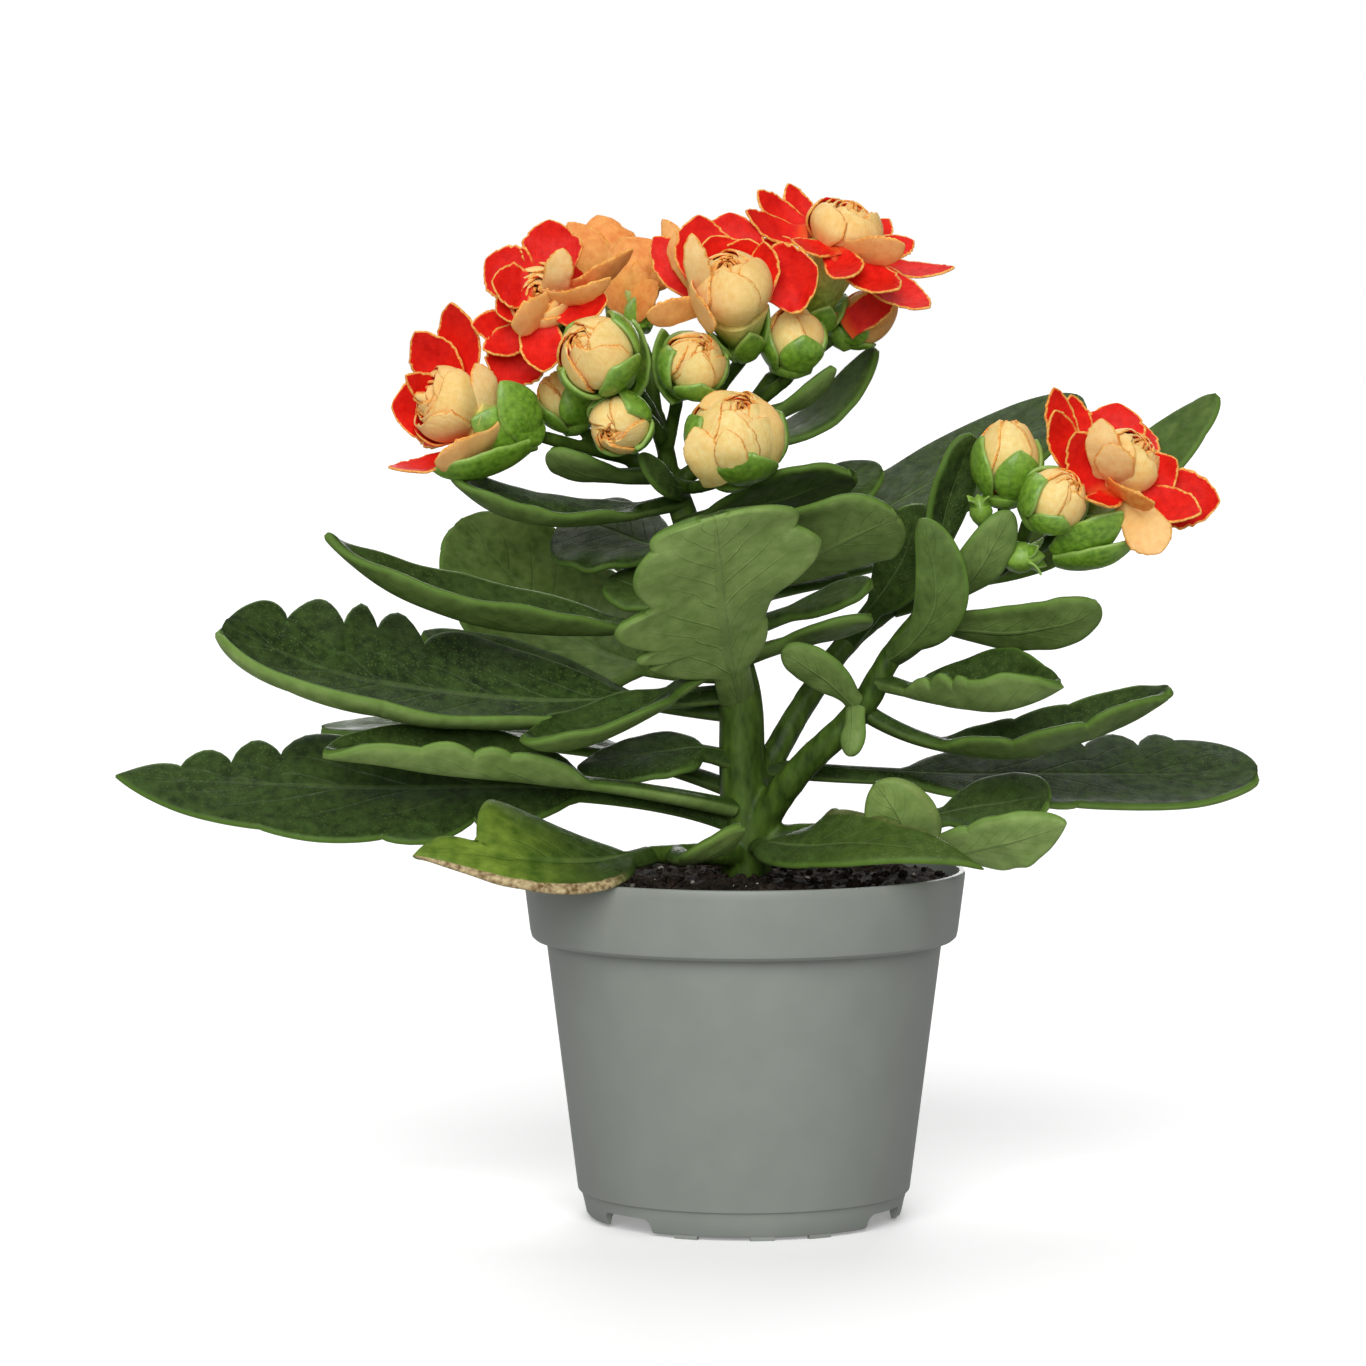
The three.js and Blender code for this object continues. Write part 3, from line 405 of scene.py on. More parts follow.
LEAVES = {
    "low_left_long": leaf_row(
        [(-1, -0.5, 53.5), (-25, -6, 58.5), (-53.5, -10, 59), (-84, -12, 61)], (0.05, -0.7, 0.7), (10.5, 10),
        (0.05, 0.5), stalk=0.3, widest=0.45, tip=0.85, fold=5,
        clefts=([(0.25, 0.35), (0.45, 0.12), (0.7, 0.08)], [(0.5, 0.12), (0.66, 0.34), (0.765, 0.42), (0.87, 0.38)])),
    "left_broad": leaf_row(
        [(-1, -0.5, 71.5), (-25, -7, 70.5), (-48, -12, 73), (-69.5, -14, 81)], (0.2, -0.6, 0.75), (13, 14),
        (0, 0.75), widest=0.62, tip=0.45, curl=(90, 10),
        clefts=([(0.4, 0.06), (0.6, 0.06), (0.8, 0.05)], [(0.49, 0.36), (0.62, 0.28), (0.715, 0.32), (0.865, 0.38)])),
    "left_folded": leaf_row(
        [(-1.5, -2.5, 56), (-20, -12, 60), (-37, -18, 62.2), (-55.5, -23, 65)], (0, -0.1, 1), (6.5, 8),
        (0.12, 0.85), stalk=0.35, widest=0.5, fold=50,
        clefts=([(0.35, 0.16), (0.49, 0.24), (0.69, 0.18)], [(0.4, 0.1), (0.65, 0.12)])),
    "left_narrow": leaf_row(
        [(-3.5, -0.5, 82), (-21.5, -7, 80.5), (-39.5, -12, 83), (-55.5, -16, 93.5)], (0, -0.15, 1), (6, 7),
        (0.1, 0.28), tip_face=(0.45, -0.15, 0.85), widest=0.5, tip=0.8, fold=50),
    "back_left_round": leaf_row(
        [(-2, 1, 74), (-19.5, 12, 76), (-29.5, 18, 83), (-40, 22, 93.5)], (0.3, -0.8, 0.5), (12, 13), (1, 0.5),
        widest=0.5, tip=0.42, teeth=3, notch=(0.08, 0.08), curl=(10, 10)),
    "left_trough": leaf_row(
        [(-1, 1.5, 68.5), (-23.5, 5, 72), (-44, 6, 79)], (0.15, -0.4, 0.9), (5.5, 5.5), (0.08, 0.4), stalk=0.3,
        fold=20),
    "head_left": leaf_row(
        [(-8.5, -0.5, 97.5), (-19.5, -5, 95.5), (-30, -9, 96), (-39, -12, 101.5)], (0, -0.35, 0.95), (5.5, 6),
        (0, 0.3), stalk=0.15, fold=15, curl=(50, 10)),
    "back_left_grey": leaf_row(
        [(-6, 1, 89), (-16, 6, 92), (-25, 10, 94)], (0, -0.5, 0.85), (10, 9.5), (0.05, 0.4), widest=0.6),
    "front_big": leaf_row(
        [(-1, -1.5, 71), (-3, -17, 81.5), (-4, -29, 90), (-4.5, -37, 96.5)], (-0.3, 0.6, 0.75), (15, 14.5),
        (0.3, 1), stalk=0.12, stalk_half=2.6, widest=0.5, tip=0.4,
        clefts=([(0.2, 0.06), (0.73, 0.2)], [(0.16, 0.2), (0.24, 0.25), (0.45, 0.22), (0.84, 0.12)]),
        trim=([(0, 0.6), (0.2, 0.5), (0.33, 0.55), (0.5, 0.9), (0.6, 1), (1, 1)],
              [(0, 1), (0.43, 1.05), (0.47, 0.78), (0.85, 0.85), (1, 1)])),
    "front_right_lower": leaf_row(
        [(-3.5, -1, 83.5), (4, -12, 88.5), (12, -20, 93), (19.5, -25, 96.5)], (-0.3, 0.75, 0.6), (8, 9),
        (0.25, 0.5), stalk=0.15, widest=0.6),
    "front_right_upper": leaf_row(
        [(-8.5, -0.5, 94), (-0.5, -7, 97), (7.5, -11, 99.5), (14, -14, 101.5)], (-0.3, 0.5, 0.8), (6.5, 6.5),
        (0.1, 0.12), stalk=0.15, widest=0.6),
    "behind_right": leaf_row(
        [(-6.5, 1, 91.5), (7.5, 7, 96.5), (19, 9, 101.5)], (0, -0.5, 0.85), (6, 6), (0.1, 0.3)),
    "back_right_large": leaf_row(
        [(-3, 1, 85), (9, 8, 90), (27, 15, 99.5), (47, 22, 111)], (-0.4, -0.5, 0.8), (10, 10), (0.1, 0.3),
        widest=0.6, tip=0.45),
    "right_far_top": leaf_row(
        [(20.5, 9.5, 82.5), (36, 12, 88), (50, 14, 97), (65.5, 15, 111.5)], (-0.5, -0.6, 0.5), (6, 6), (0.6, 0.6),
        stalk=0.25, teeth=2, notch=(0.1, 0.1)),
    "behind_upright": leaf_row(
        [(14.5, 7.5, 78.5), (21, 1, 88), (24, -2, 97)], (-0.3, -0.85, 0.4), (5, 5), (0.1, 0.3)),
    "upright_pale": leaf_row(
        [(20, -7.5, 77), (25.2, -16, 84.5), (23, -17, 95.5)], (0.2, 0.95, 0.2), (4.2, 3), (0.15, 0.2), stalk=0.15,
        widest=0.5),
    "upright_dark": leaf_row(
        [(25, -4.5, 84), (26.8, -4.2, 96.5), (30.5, -5, 106.5)], (0.5, -0.8, 0.1), (3.5, 3.5), (0.05, 0.25),
        fold=30),
    "upright_small": leaf_row(
        [(26.5, -7, 84), (30.5, -13, 88.5), (35, -14.5, 96.5)], (-0.3, 0.9, 0.2), (3.5, 3.5), (0.3, 0.45)),
    "right_smooth": leaf_row(
        [(23.5, -6.5, 81.5), (38, -13, 81), (46.5, -16, 84.5)], (0, 0.75, 0.65), (4.5, 4.5), (0.2, 0.38),
        stalk=0.05),
    "right_toothed": leaf_row(
        [(18, -7, 73.5), (26, -12, 71.5), (33.5, -17, 71), (41.5, -20, 74)], (0, -0.1, 1), (9.5, 7), (0.1, 0.65),
        stalk=0.15, fold=50, clefts=([], [(0.22, 0.22), (0.4, 0.24), (0.52, 0.1)])),
    "right_trough": leaf_row(
        [(16, -5.5, 69.5), (29, -8, 64.5), (43.5, -9, 65.5), (57, -8, 72.5)], (0, -0.15, 1), (7, 7.5), (0.05, 0.22),
        stalk=0.25, teeth=2, notch=(0.1, 0.35), fold=35, curl=(20, 10)),
    "right_long": leaf_row(
        [(1, 1, 61.5), (24, 5, 59.5), (47.5, 10, 59), (71, 12, 59.5)], (0, -0.5, 0.85), (10.5, 10.5), (0, 0.6),
        stalk=0.3, widest=0.6, tip=0.42, curl=(5, 40),
        clefts=([(0.36, 0.12), (0.543, 0.28), (0.69, 0.28), (0.79, 0.12)], [(0.3, 0.15), (0.45, 0.12)])),
    "rim_right": leaf_row(
        [(2, -3.8, 50.8), (8, -18, 52), (19, -25, 52.5), (31, -27, 50)], (0, -0.7, 0.7), (7.5, 4), (0.2, 0.6),
        dry=0.15, stalk=0.1, widest=0.25, tip=1.05, teeth=2, notch=(0.12, 0.05)),
    "right_round": leaf_row(
        [(21, -9.5, 51.5), (21.4, -18, 54.5), (17.2, -21, 61)], (0.2, 0.9, 0.3), (5, 5), (0.3, 0.65), dry=0.1),
    "right_low_pale": leaf_row(
        [(24.5, -11.5, 50.8), (32.5, -20.5, 53), (42, -23, 56)], (-0.1, 0.8, 0.6), (6, 5), (0.3, 1), stalk=0.05,
        widest=0.5, tip=0.7, clefts=([], [(0.4, 0.2)])),
    "right_low_dark": leaf_row(
        [(17, -6.5, 52.5), (32, -4, 56), (41, -5, 57)], (0, -0.7, 0.7), (5.5, 5.5), (0.15, 0.5), stalk=0.3),
    "yellowing": leaf_row(
        [(-13, -13, 50.5), (-22, -23, 50.3), (-32.5, -27, 51.2), (-43.5, -29, 52)], (0, -0.6, 0.8), (6, 12),
        (0.1, 0.6), dry=1, stalk=0.1, widest=0.35, tip=1.1, sweep=(0, 0.14), clefts=([], [(0.56, 0.5)]),
        trim=([(0, 1), (1, 1)], [(0, 1), (0.54, 1.12), (0.58, 0.5), (1, 0.8)])),
    "front_small": leaf_row(
        [(-9.5, -10, 50.5), (-6, -22, 51.5), (-0.5, -25, 55.5)], (-0.3, 0.4, 0.85), (3.5, 3.5), (0.15, 0.75),
        dry=0.2, stalk=0.3),
    "left_drooping": leaf_row(
        [(-1, -1, 62), (-9, -3, 63.6), (-16, -4.5, 62.4), (-22.5, -5.5, 61.2)], (0, -0.5, 0.85), (5.5, 5),
        (0.08, 0.35), widest=0.35),
    "left_small_trough": leaf_row(
        [(-1.5, -1.5, 76.5), (-9, -9, 72.5), (-20, -16, 66.5), (-29.5, -19.5, 67)], (0, -0.2, 1), (6, 6.5),
        (0.08, 0.6), stalk=0.35, widest=0.55, fold=35),
    "back_left_low": leaf_row(
        [(-1, 2, 58), (-20, 10, 63), (-40, 19, 65), (-59, 25, 64.5)], (0.1, -0.15, 1), (8, 8), (0.12, 0.5),
        stalk=0.25, teeth=3, notch=(0.1, 0.1)),
    "back_left_high": leaf_row(
        [(-3.5, 2, 78.5), (-9, 24, 87.5), (-16, 43, 88.5)], (0, -0.3, 0.95), (9, 9), (0.15, 0.5), teeth=3,
        notch=(0.1, 0.1)),
    "back_right_high": leaf_row(
        [(-2, 2, 81), (10, 22, 88), (20, 42, 90)], (0, -0.3, 0.95), (9, 9), (0.15, 0.5), teeth=3, notch=(0.1, 0.1)),
}
SMALL_LEAVES = {
    "stem_0": leaf_row(
        [(-4, 0, 83), (-13, 2, 85), (-18.5, 4, 86.5)], (0, -0.6, 0.8), (4.5, 4.5)),
    "stem_1": leaf_row(
        [(15.5, -6, 70), (10.5, -9.5, 74.5), (5, -11, 78)], (0.5, 0.8, 0.3), (3.4, 3.2), stalk=0.1),
    "stem_2": leaf_row(
        [(15, -6, 70), (14.6, -9, 67), (14, -10, 63.5)], (0.4, 0.8, 0), (1.8, 1.8)),
    "stem_3": leaf_row(
        [(-1.5, 0, 79.5), (9.5, -3, 83.5), (17, -6, 86.5)], (0, -0.5, 0.85), (3.5, 3.5), stalk=0.3),
    "stem_4": leaf_row(
        [(-1, -0.5, 76), (9, -6, 79.5), (17, -9, 82)], (0, 0.3, 0.95), (3.5, 3.5), stalk=0.3),
    "main_0": leaf_row(
        [(-12.5, 0, 101), (-20.5, -7, 101.5), (-26, -10, 104.5)], (0.3, 0.6, 0.7), (3.5, 3.5), stalk=0.25),
    "main_1": leaf_row(
        [(-8.5, -0.5, 99), (-10.5, -7, 100), (-14, -10, 104)], (0.5, -0.8, 0.3), (2, 2), stalk=0.15),
    "main_2": leaf_row(
        [(2.5, 1, 109), (7.5, -2, 111), (12, -3, 115.5)], (-0.5, 0.6, 0.6), (2, 2)),
    "main_3": leaf_row(
        [(-2, 0.5, 106), (8.5, 5.5, 107.5), (18, 8.5, 118)], (-0.6, -0.4, 0.6), (5, 5), stalk=0.15),
}


def through(points, share):
    """Places on a smooth curve through evenly spread points, at shares of its length from 0 to 1."""
    points = np.array(points, float)
    slot = share * (len(points) - 1)
    weights = np.ones((len(share), len(points)))
    for i in range(len(points)):
        for j in range(len(points)):
            if i != j:
                weights[:, i] *= (slot - j) / (i - j)
    return weights @ points


def unit(rows):
    """Rows of vectors, each with length 1."""
    return rows / np.maximum(np.linalg.norm(rows, axis=1, keepdims=True), 1e-9)


NEAR_EDGE = 0.96
STEP_ALONG = 0.008
STEP_ACROSS = 0.03


def mark(piece, name, kind, values):
    """Gives each point of a piece its own value or vector, which its material reads."""
    made = piece.data.attributes.new(name, kind, "POINT")
    made.data.foreach_set("value" if kind == "FLOAT" else "vector", np.ravel(values).astype(np.float32))


def thin_body(name, surface, thickness, shares, segments):
    """A closed body with rounded edges round a thin surface: a ball whose two halves are its two sides.

    surface(across, share) gives the middle surface and the width of each half, for across from 1 at the
    left edge to -1 at the right edge and share from 0 at the root to 1 at the tip.
    """
    bpy.ops.mesh.primitive_uv_sphere_add(segments=segments, ring_count=len(shares) + 1)
    piece = bpy.context.object
    piece.name = piece.data.name = name
    mesh = piece.data
    ball = np.empty(len(mesh.vertices) * 3)
    mesh.vertices.foreach_get("co", ball)
    ball = ball.reshape(-1, 3)
    ring = np.rint(np.arccos(np.clip(-ball[:, 2], -1, 1)) / np.pi * (len(shares) + 1)).astype(int)
    share = np.concatenate(([0.0], shares, [1.0]))[ring]
    is_end = (ring == 0) | (ring == len(shares) + 1)
    angle = np.arctan2(ball[:, 1], ball[:, 0])
    across = np.where(is_end, 0, np.cos(angle))
    points, width = surface(across, share)
    inner, near = across * NEAR_EDGE, np.clip(share, 0.01, 0.99)
    along = surface(inner, near + STEP_ALONG)[0] - surface(inner, near - STEP_ALONG)[0]
    aside = surface(inner + STEP_ACROSS, near)[0] - surface(inner - STEP_ACROSS, near)[0]
    half = thickness(share) / 2
    inward = np.clip(width * (1 - np.abs(across)) / (half * 1.3), 0, 1)
    rounded = np.where(is_end, 0, np.sqrt(1 - (1 - inward) ** 2)) * np.sign(np.round(np.sin(angle), 6))
    points = points + unit(np.cross(along, aside)) * (half * (1 - 0.25 * across**2) * rounded)[:, None]
    mesh.vertices.foreach_set("co", (points * MM).ravel())
    mark(piece, "across_along_side", "FLOAT_VECTOR", np.column_stack((across, share, rounded)))
    mark(piece, "edge_distance", "FLOAT", width * (1 - np.abs(across)))
    mesh.update()
    for face in mesh.polygons:
        face.use_smooth = True
    return piece


def body_width(share, widest, tip):
    """The outline of a leaf or petal: 0 at both ends and 1 where it is widest."""
    share = np.clip(share, 0, 0.998)
    return (share / widest) ** (tip * widest / (1 - widest)) * ((1 - share) / (1 - widest)) ** tip


def bent_blade(midrib, face, tip_face, width, fold=0, curl=(0, 0), sweep=(0, 0), ripple=0, seed=0):
    """The surface of a blade along its midrib. The halves fold up, curl and sweep forward towards their edge."""
    parts = np.linspace(0, 1, 9)
    simpson = np.array([1, 4, 2, 4, 2, 4, 2, 4, 1]) / 24
    face, tip_face = np.array(face, float), np.array(tip_face, float)

    def surface(across, share):
        tangent = unit(through(midrib, share + 0.01) - through(midrib, share - 0.01))
        up = face + (tip_face - face) * share[:, None]
        left = unit(np.cross(up, tangent))
        up = np.cross(tangent, left)
        reach, is_left = np.abs(across), across >= 0
        half = width(share, is_left)
        lift = np.where(is_left, curl[0], curl[1])
        distance = (half * reach)[:, None] * parts
        slope = fold * np.tanh(distance / 1.6) + lift[:, None] * (reach[:, None] * parts) ** 2
        slope = np.radians(slope) * np.minimum(1, half / (2.5 * LEAF_STALK_HALF_WIDTH))[:, None]
        out = half * reach * (np.cos(slope) @ simpson) * np.where(is_left, 1, -1)
        rise = half * reach * (np.sin(slope) @ simpson)
        rise -= 0.45 * np.exp(-((half * reach / 1.3) ** 2)) * np.clip(half / 6, 0, 1) * (1 - share)
        if ripple:
            edge = np.where(is_left, 0.0, 40.0) + seed
            wave = np.array([noise.noise(Vector((s * 7, e, 0))) for s, e in zip(share, edge)])
            swell = np.array([noise.noise(Vector((s * 4, a * 1.2, seed + 9))) for s, a in zip(share, across)])
            rise += ripple * (wave * reach**2.5 + 0.7 * swell) * np.clip(half / 8, 0, 1)
        forward = share + np.where(is_left, sweep[0], sweep[1]) * reach**2 * 4 * share * (1 - share)
        return through(midrib, forward) + left * out[:, None] + up * rise[:, None], half

    return surface


def clefts_of(leaf, hand):
    """The clefts between the teeth of one edge: rows of (share of the blade, depth)."""
    if "clefts" in leaf:
        return leaf["clefts"][hand]
    count = leaf.get("teeth", 0)
    if not count:
        return []
    chance = random.Random(str(leaf["midrib"][-1]) + str(hand))
    step = (TEETH_TO - TEETH_FROM) / count
    return [(TEETH_FROM + step * (i + chance.uniform(-0.12, 0.12)), leaf["notch"][hand] * chance.uniform(0.7, 1.2))
            for i in range(count + 1)]


def leaf_outline(leaf):
    """The width of each half of a leaf: a stalk that widens into the blade, with rounded teeth."""
    stalk_share, widest, tip = leaf["stalk"], leaf.get("widest", 0.55), leaf.get("tip", 0.5)
    clefts = [[(0.12, 0), *clefts_of(leaf, hand), (1.05, 0)] for hand in (0, 1)]

    def width(share, is_left):
        blade = np.clip((share - stalk_share) / (1 - stalk_share), 0, 0.998)
        body = body_width(blade, widest, tip)
        halves = []
        for hand in (0, 1):
            cut = np.zeros_like(blade)
            for (low, low_cut), (high, high_cut) in zip(clefts[hand], clefts[hand][1:]):
                part = np.clip((blade - low) / (high - low), 0, 1) ** 1.2
                inside = (blade >= low) & (blade <= high)
                deep = np.where(part < 0.5, low_cut, high_cut)
                cut = np.where(inside, deep * (1 - np.abs(np.sin(np.pi * part)) ** 0.62), cut)
            trim = np.interp(blade, *zip(*leaf["trim"][hand])) if "trim" in leaf else 1.0
            wide = leaf["half"][hand] * body * (1 - cut) * trim
            halves.append((wide**4 + (leaf.get("stalk_half", LEAF_STALK_HALF_WIDTH) * (1 - blade)) ** 4) ** 0.25)
        return np.where(is_left, halves[0], halves[1])

    return width, np.array([share for hand in (0, 1) for share, _ in clefts[hand][1:-1]])


def toned(piece, values):
    """Gives a piece its own three shares of colour, which its material reads."""
    mark(piece, "tone", "FLOAT_VECTOR", np.tile(values, len(piece.data.vertices)))
    return piece


def leaf_piece(name, leaf, rings=76, segments=40):
    """One leaf from its table row."""
    width, clefts = leaf_outline(leaf)
    stalk_share = leaf["stalk"]
    even = 0.5 - 0.5 * np.cos(np.pi * np.linspace(0, 1, rings + 1)[1:-1] ** 0.9)
    cuts = stalk_share + (1 - stalk_share) * np.concatenate((clefts - 0.008, clefts, clefts + 0.008))
    shares = np.unique(np.round(np.concatenate((even, cuts[cuts < 0.99])), 4))
    seed = random.Random(name).uniform(0, 90)
    surface = bent_blade(leaf["midrib"], leaf["face"], leaf.get("tip_face", leaf["face"]), width,
                         fold=leaf.get("fold", 0), curl=leaf.get("curl", (0, 0)), sweep=leaf.get("sweep", (0, 0)),
                         ripple=LEAF_RIPPLE, seed=seed)

    def thickness(share):
        thinning = np.minimum(1, share / (stalk_share + 0.15))
        return LEAF_STALK_THICKNESS + (LEAF_THICKNESS - LEAF_STALK_THICKNESS) * thinning

    return toned(thin_body(name, surface, thickness, shares, segments), leaf["tone"])


# Leaf skin: scattered pale grains over dark mottled green on top, a plainer grey-green under, a brighter
# rounded edge, and a midrib with side veins that dent the top and stand out below.
leaf_skin, tree, shader, spot = start_material("leaf skin", Specular_IOR_Level=0.12)


def marks_of(tree, name):
    """The three shares that a piece's mark holds."""
    return add_node(tree, "SeparateXYZ", {0: add_node(tree, "Attribute", attribute_name=name).outputs[1]}).outputs


def edge_of(tree):
    """The distance from the piece's edge, in millimetres."""
    return add_node(tree, "Attribute", attribute_name="edge_distance").outputs["Fac"]


def ramp(value, low, high, to_low=0.0, to_high=1.0, kind="SMOOTHSTEP"):
    """A value spread from one range to another, held at both ends."""
    made = add_node(tree, "MapRange", {"Value": value, "From Min": low, "From Max": high, "To Min": to_low,
                                       "To Max": to_high}, interpolation_type=kind)
    return made.outputs["Result"]


def blend(share, first, second):
    """A mix of two colours."""
    made = add_node(tree, "Mix", {0: share, 6: first, 7: second}, data_type="RGBA")
    return made.outputs[2]


def maths(kind, *values):
    """The result of one sum."""
    return add_node(tree, "Math", dict(enumerate(values)), operation=kind).outputs[0]


across, along, side = marks_of(tree, "across_along_side")
top_tone, under_tone, dryness = marks_of(tree, "tone")
is_top = ramp(side, -0.35, 0.35)
reach = maths("ABSOLUTE", across)
top_colour = blend(top_tone, mottled(tree, spot, (24, 40, 10), (58, 80, 32), 190.0, 1.5),
                   mottled(tree, spot, (72, 98, 40), (116, 142, 72), 160.0, 1.3))
under_colour = blend(under_tone, mottled(tree, spot, (42, 62, 18), (80, 106, 42), 130.0, 1.2),
                     mottled(tree, spot, (122, 150, 78), (158, 184, 108), 130.0, 1.2))
colour = blend(is_top, under_colour, top_colour)

grains = add_node(tree, "TexVoronoi", {"Vector": spot, "Scale": 2000.0, "Randomness": 1.0}, feature="F1")
grain_size = ramp(grains.outputs["Distance"], 0.3, 0.12)
patches = add_node(tree, "TexNoise", {"Vector": spot, "Scale": 90.0, "Detail": 3.0})
grain_share = maths("MULTIPLY", grain_size, ramp(patches.outputs["Fac"], 0.35, 0.65, 0.15, 0.55))
colour = blend(maths("MULTIPLY", grain_share, is_top), colour, paint(100, 128, 66))

rib_width = ramp(along, 0.0, 1.0, 0.09, 0.02, "LINEAR")
on_rib = ramp(maths("DIVIDE", reach, rib_width), 0.4, 1.3, 1.0, 0.0)
slant = maths("MULTIPLY_ADD", reach, -0.3, along)
vein_wave = maths("PINGPONG", maths("MULTIPLY", slant, 9.0), 0.5)
on_vein = maths("MULTIPLY", ramp(vein_wave, 0.0, 0.07, 1.0, 0.0), ramp(reach, 0.05, 0.85, 0.6, 0.0))
on_line = maths("MAXIMUM", on_rib, on_vein)
rib_share = maths("MULTIPLY", on_line, ramp(along, 0.15, 0.95, 0.35, 0.06, "LINEAR"))
colour = blend(rib_share, colour, paint(118, 144, 84))
on_edge = maths("MULTIPLY", ramp(edge_of(tree), 0.7, 0.1), ramp(along, 0.12, 0.4, 0.0, 0.6))
colour = blend(on_edge, colour, paint(98, 132, 52))

# Painted shade: every leaf darkens towards its root, where the leaves crowd round the stem and shade falls.
colour = blend(ramp(along, 0.0, 0.22, 0.45, 0.0), colour, paint(44, 66, 18))
yellow = mottled(tree, spot, (70, 100, 26), (128, 152, 56), 120.0, 1.5)
colour = blend(maths("MULTIPLY", dryness, ramp(along, 0.2, 0.75)), colour, yellow)
torn = add_node(tree, "TexNoise", {"Vector": spot, "Scale": 260.0, "Detail": 3.0}).outputs["Fac"]
to_edge = maths("MULTIPLY_ADD", torn, 0.16, across)
dry_share = maths("MULTIPLY", ramp(to_edge, 0.84, 0.9), ramp(along, 0.18, 0.3))
dry = mottled(tree, spot, (112, 88, 54), (206, 186, 142), 420.0, 1.8)
colour = blend(maths("MULTIPLY", dry_share, dryness), colour, dry)

uneven = add_node(tree, "TexNoise", {"Vector": spot, "Scale": 500.0, "Detail": 4.0}).outputs["Fac"]
line_way = ramp(side, -0.2, 0.2, 1.0, -1.0)
lines = add_node(tree, "Bump", {"Strength": 0.5, "Distance": 0.0004, "Height": maths("MULTIPLY", on_line, line_way),
                                "Normal": pored(tree, spot, 2600.0, 0.4, 0.00012)})
feed(tree, shader, Base_Color=colour, Roughness=ramp(uneven, 0.3, 0.7, 0.4, 0.58), Normal=lines.outputs["Normal"])

for name, leaf in LEAVES.items():
    piece = leaf_piece("leaf_" + name, leaf)
    slot = "yellowing_leaf" if name == "yellowing" else "leaf_green"
    finish_piece(piece, slot, leaf_skin, "leaf_" + name)
for name, leaf in SMALL_LEAVES.items():
    piece = leaf_piece("small_leaf_" + name, leaf, rings=40, segments=28)
    finish_piece(piece, "leaf_green", leaf_skin, "stem" if name.startswith("stem") else "main_head_stalks")

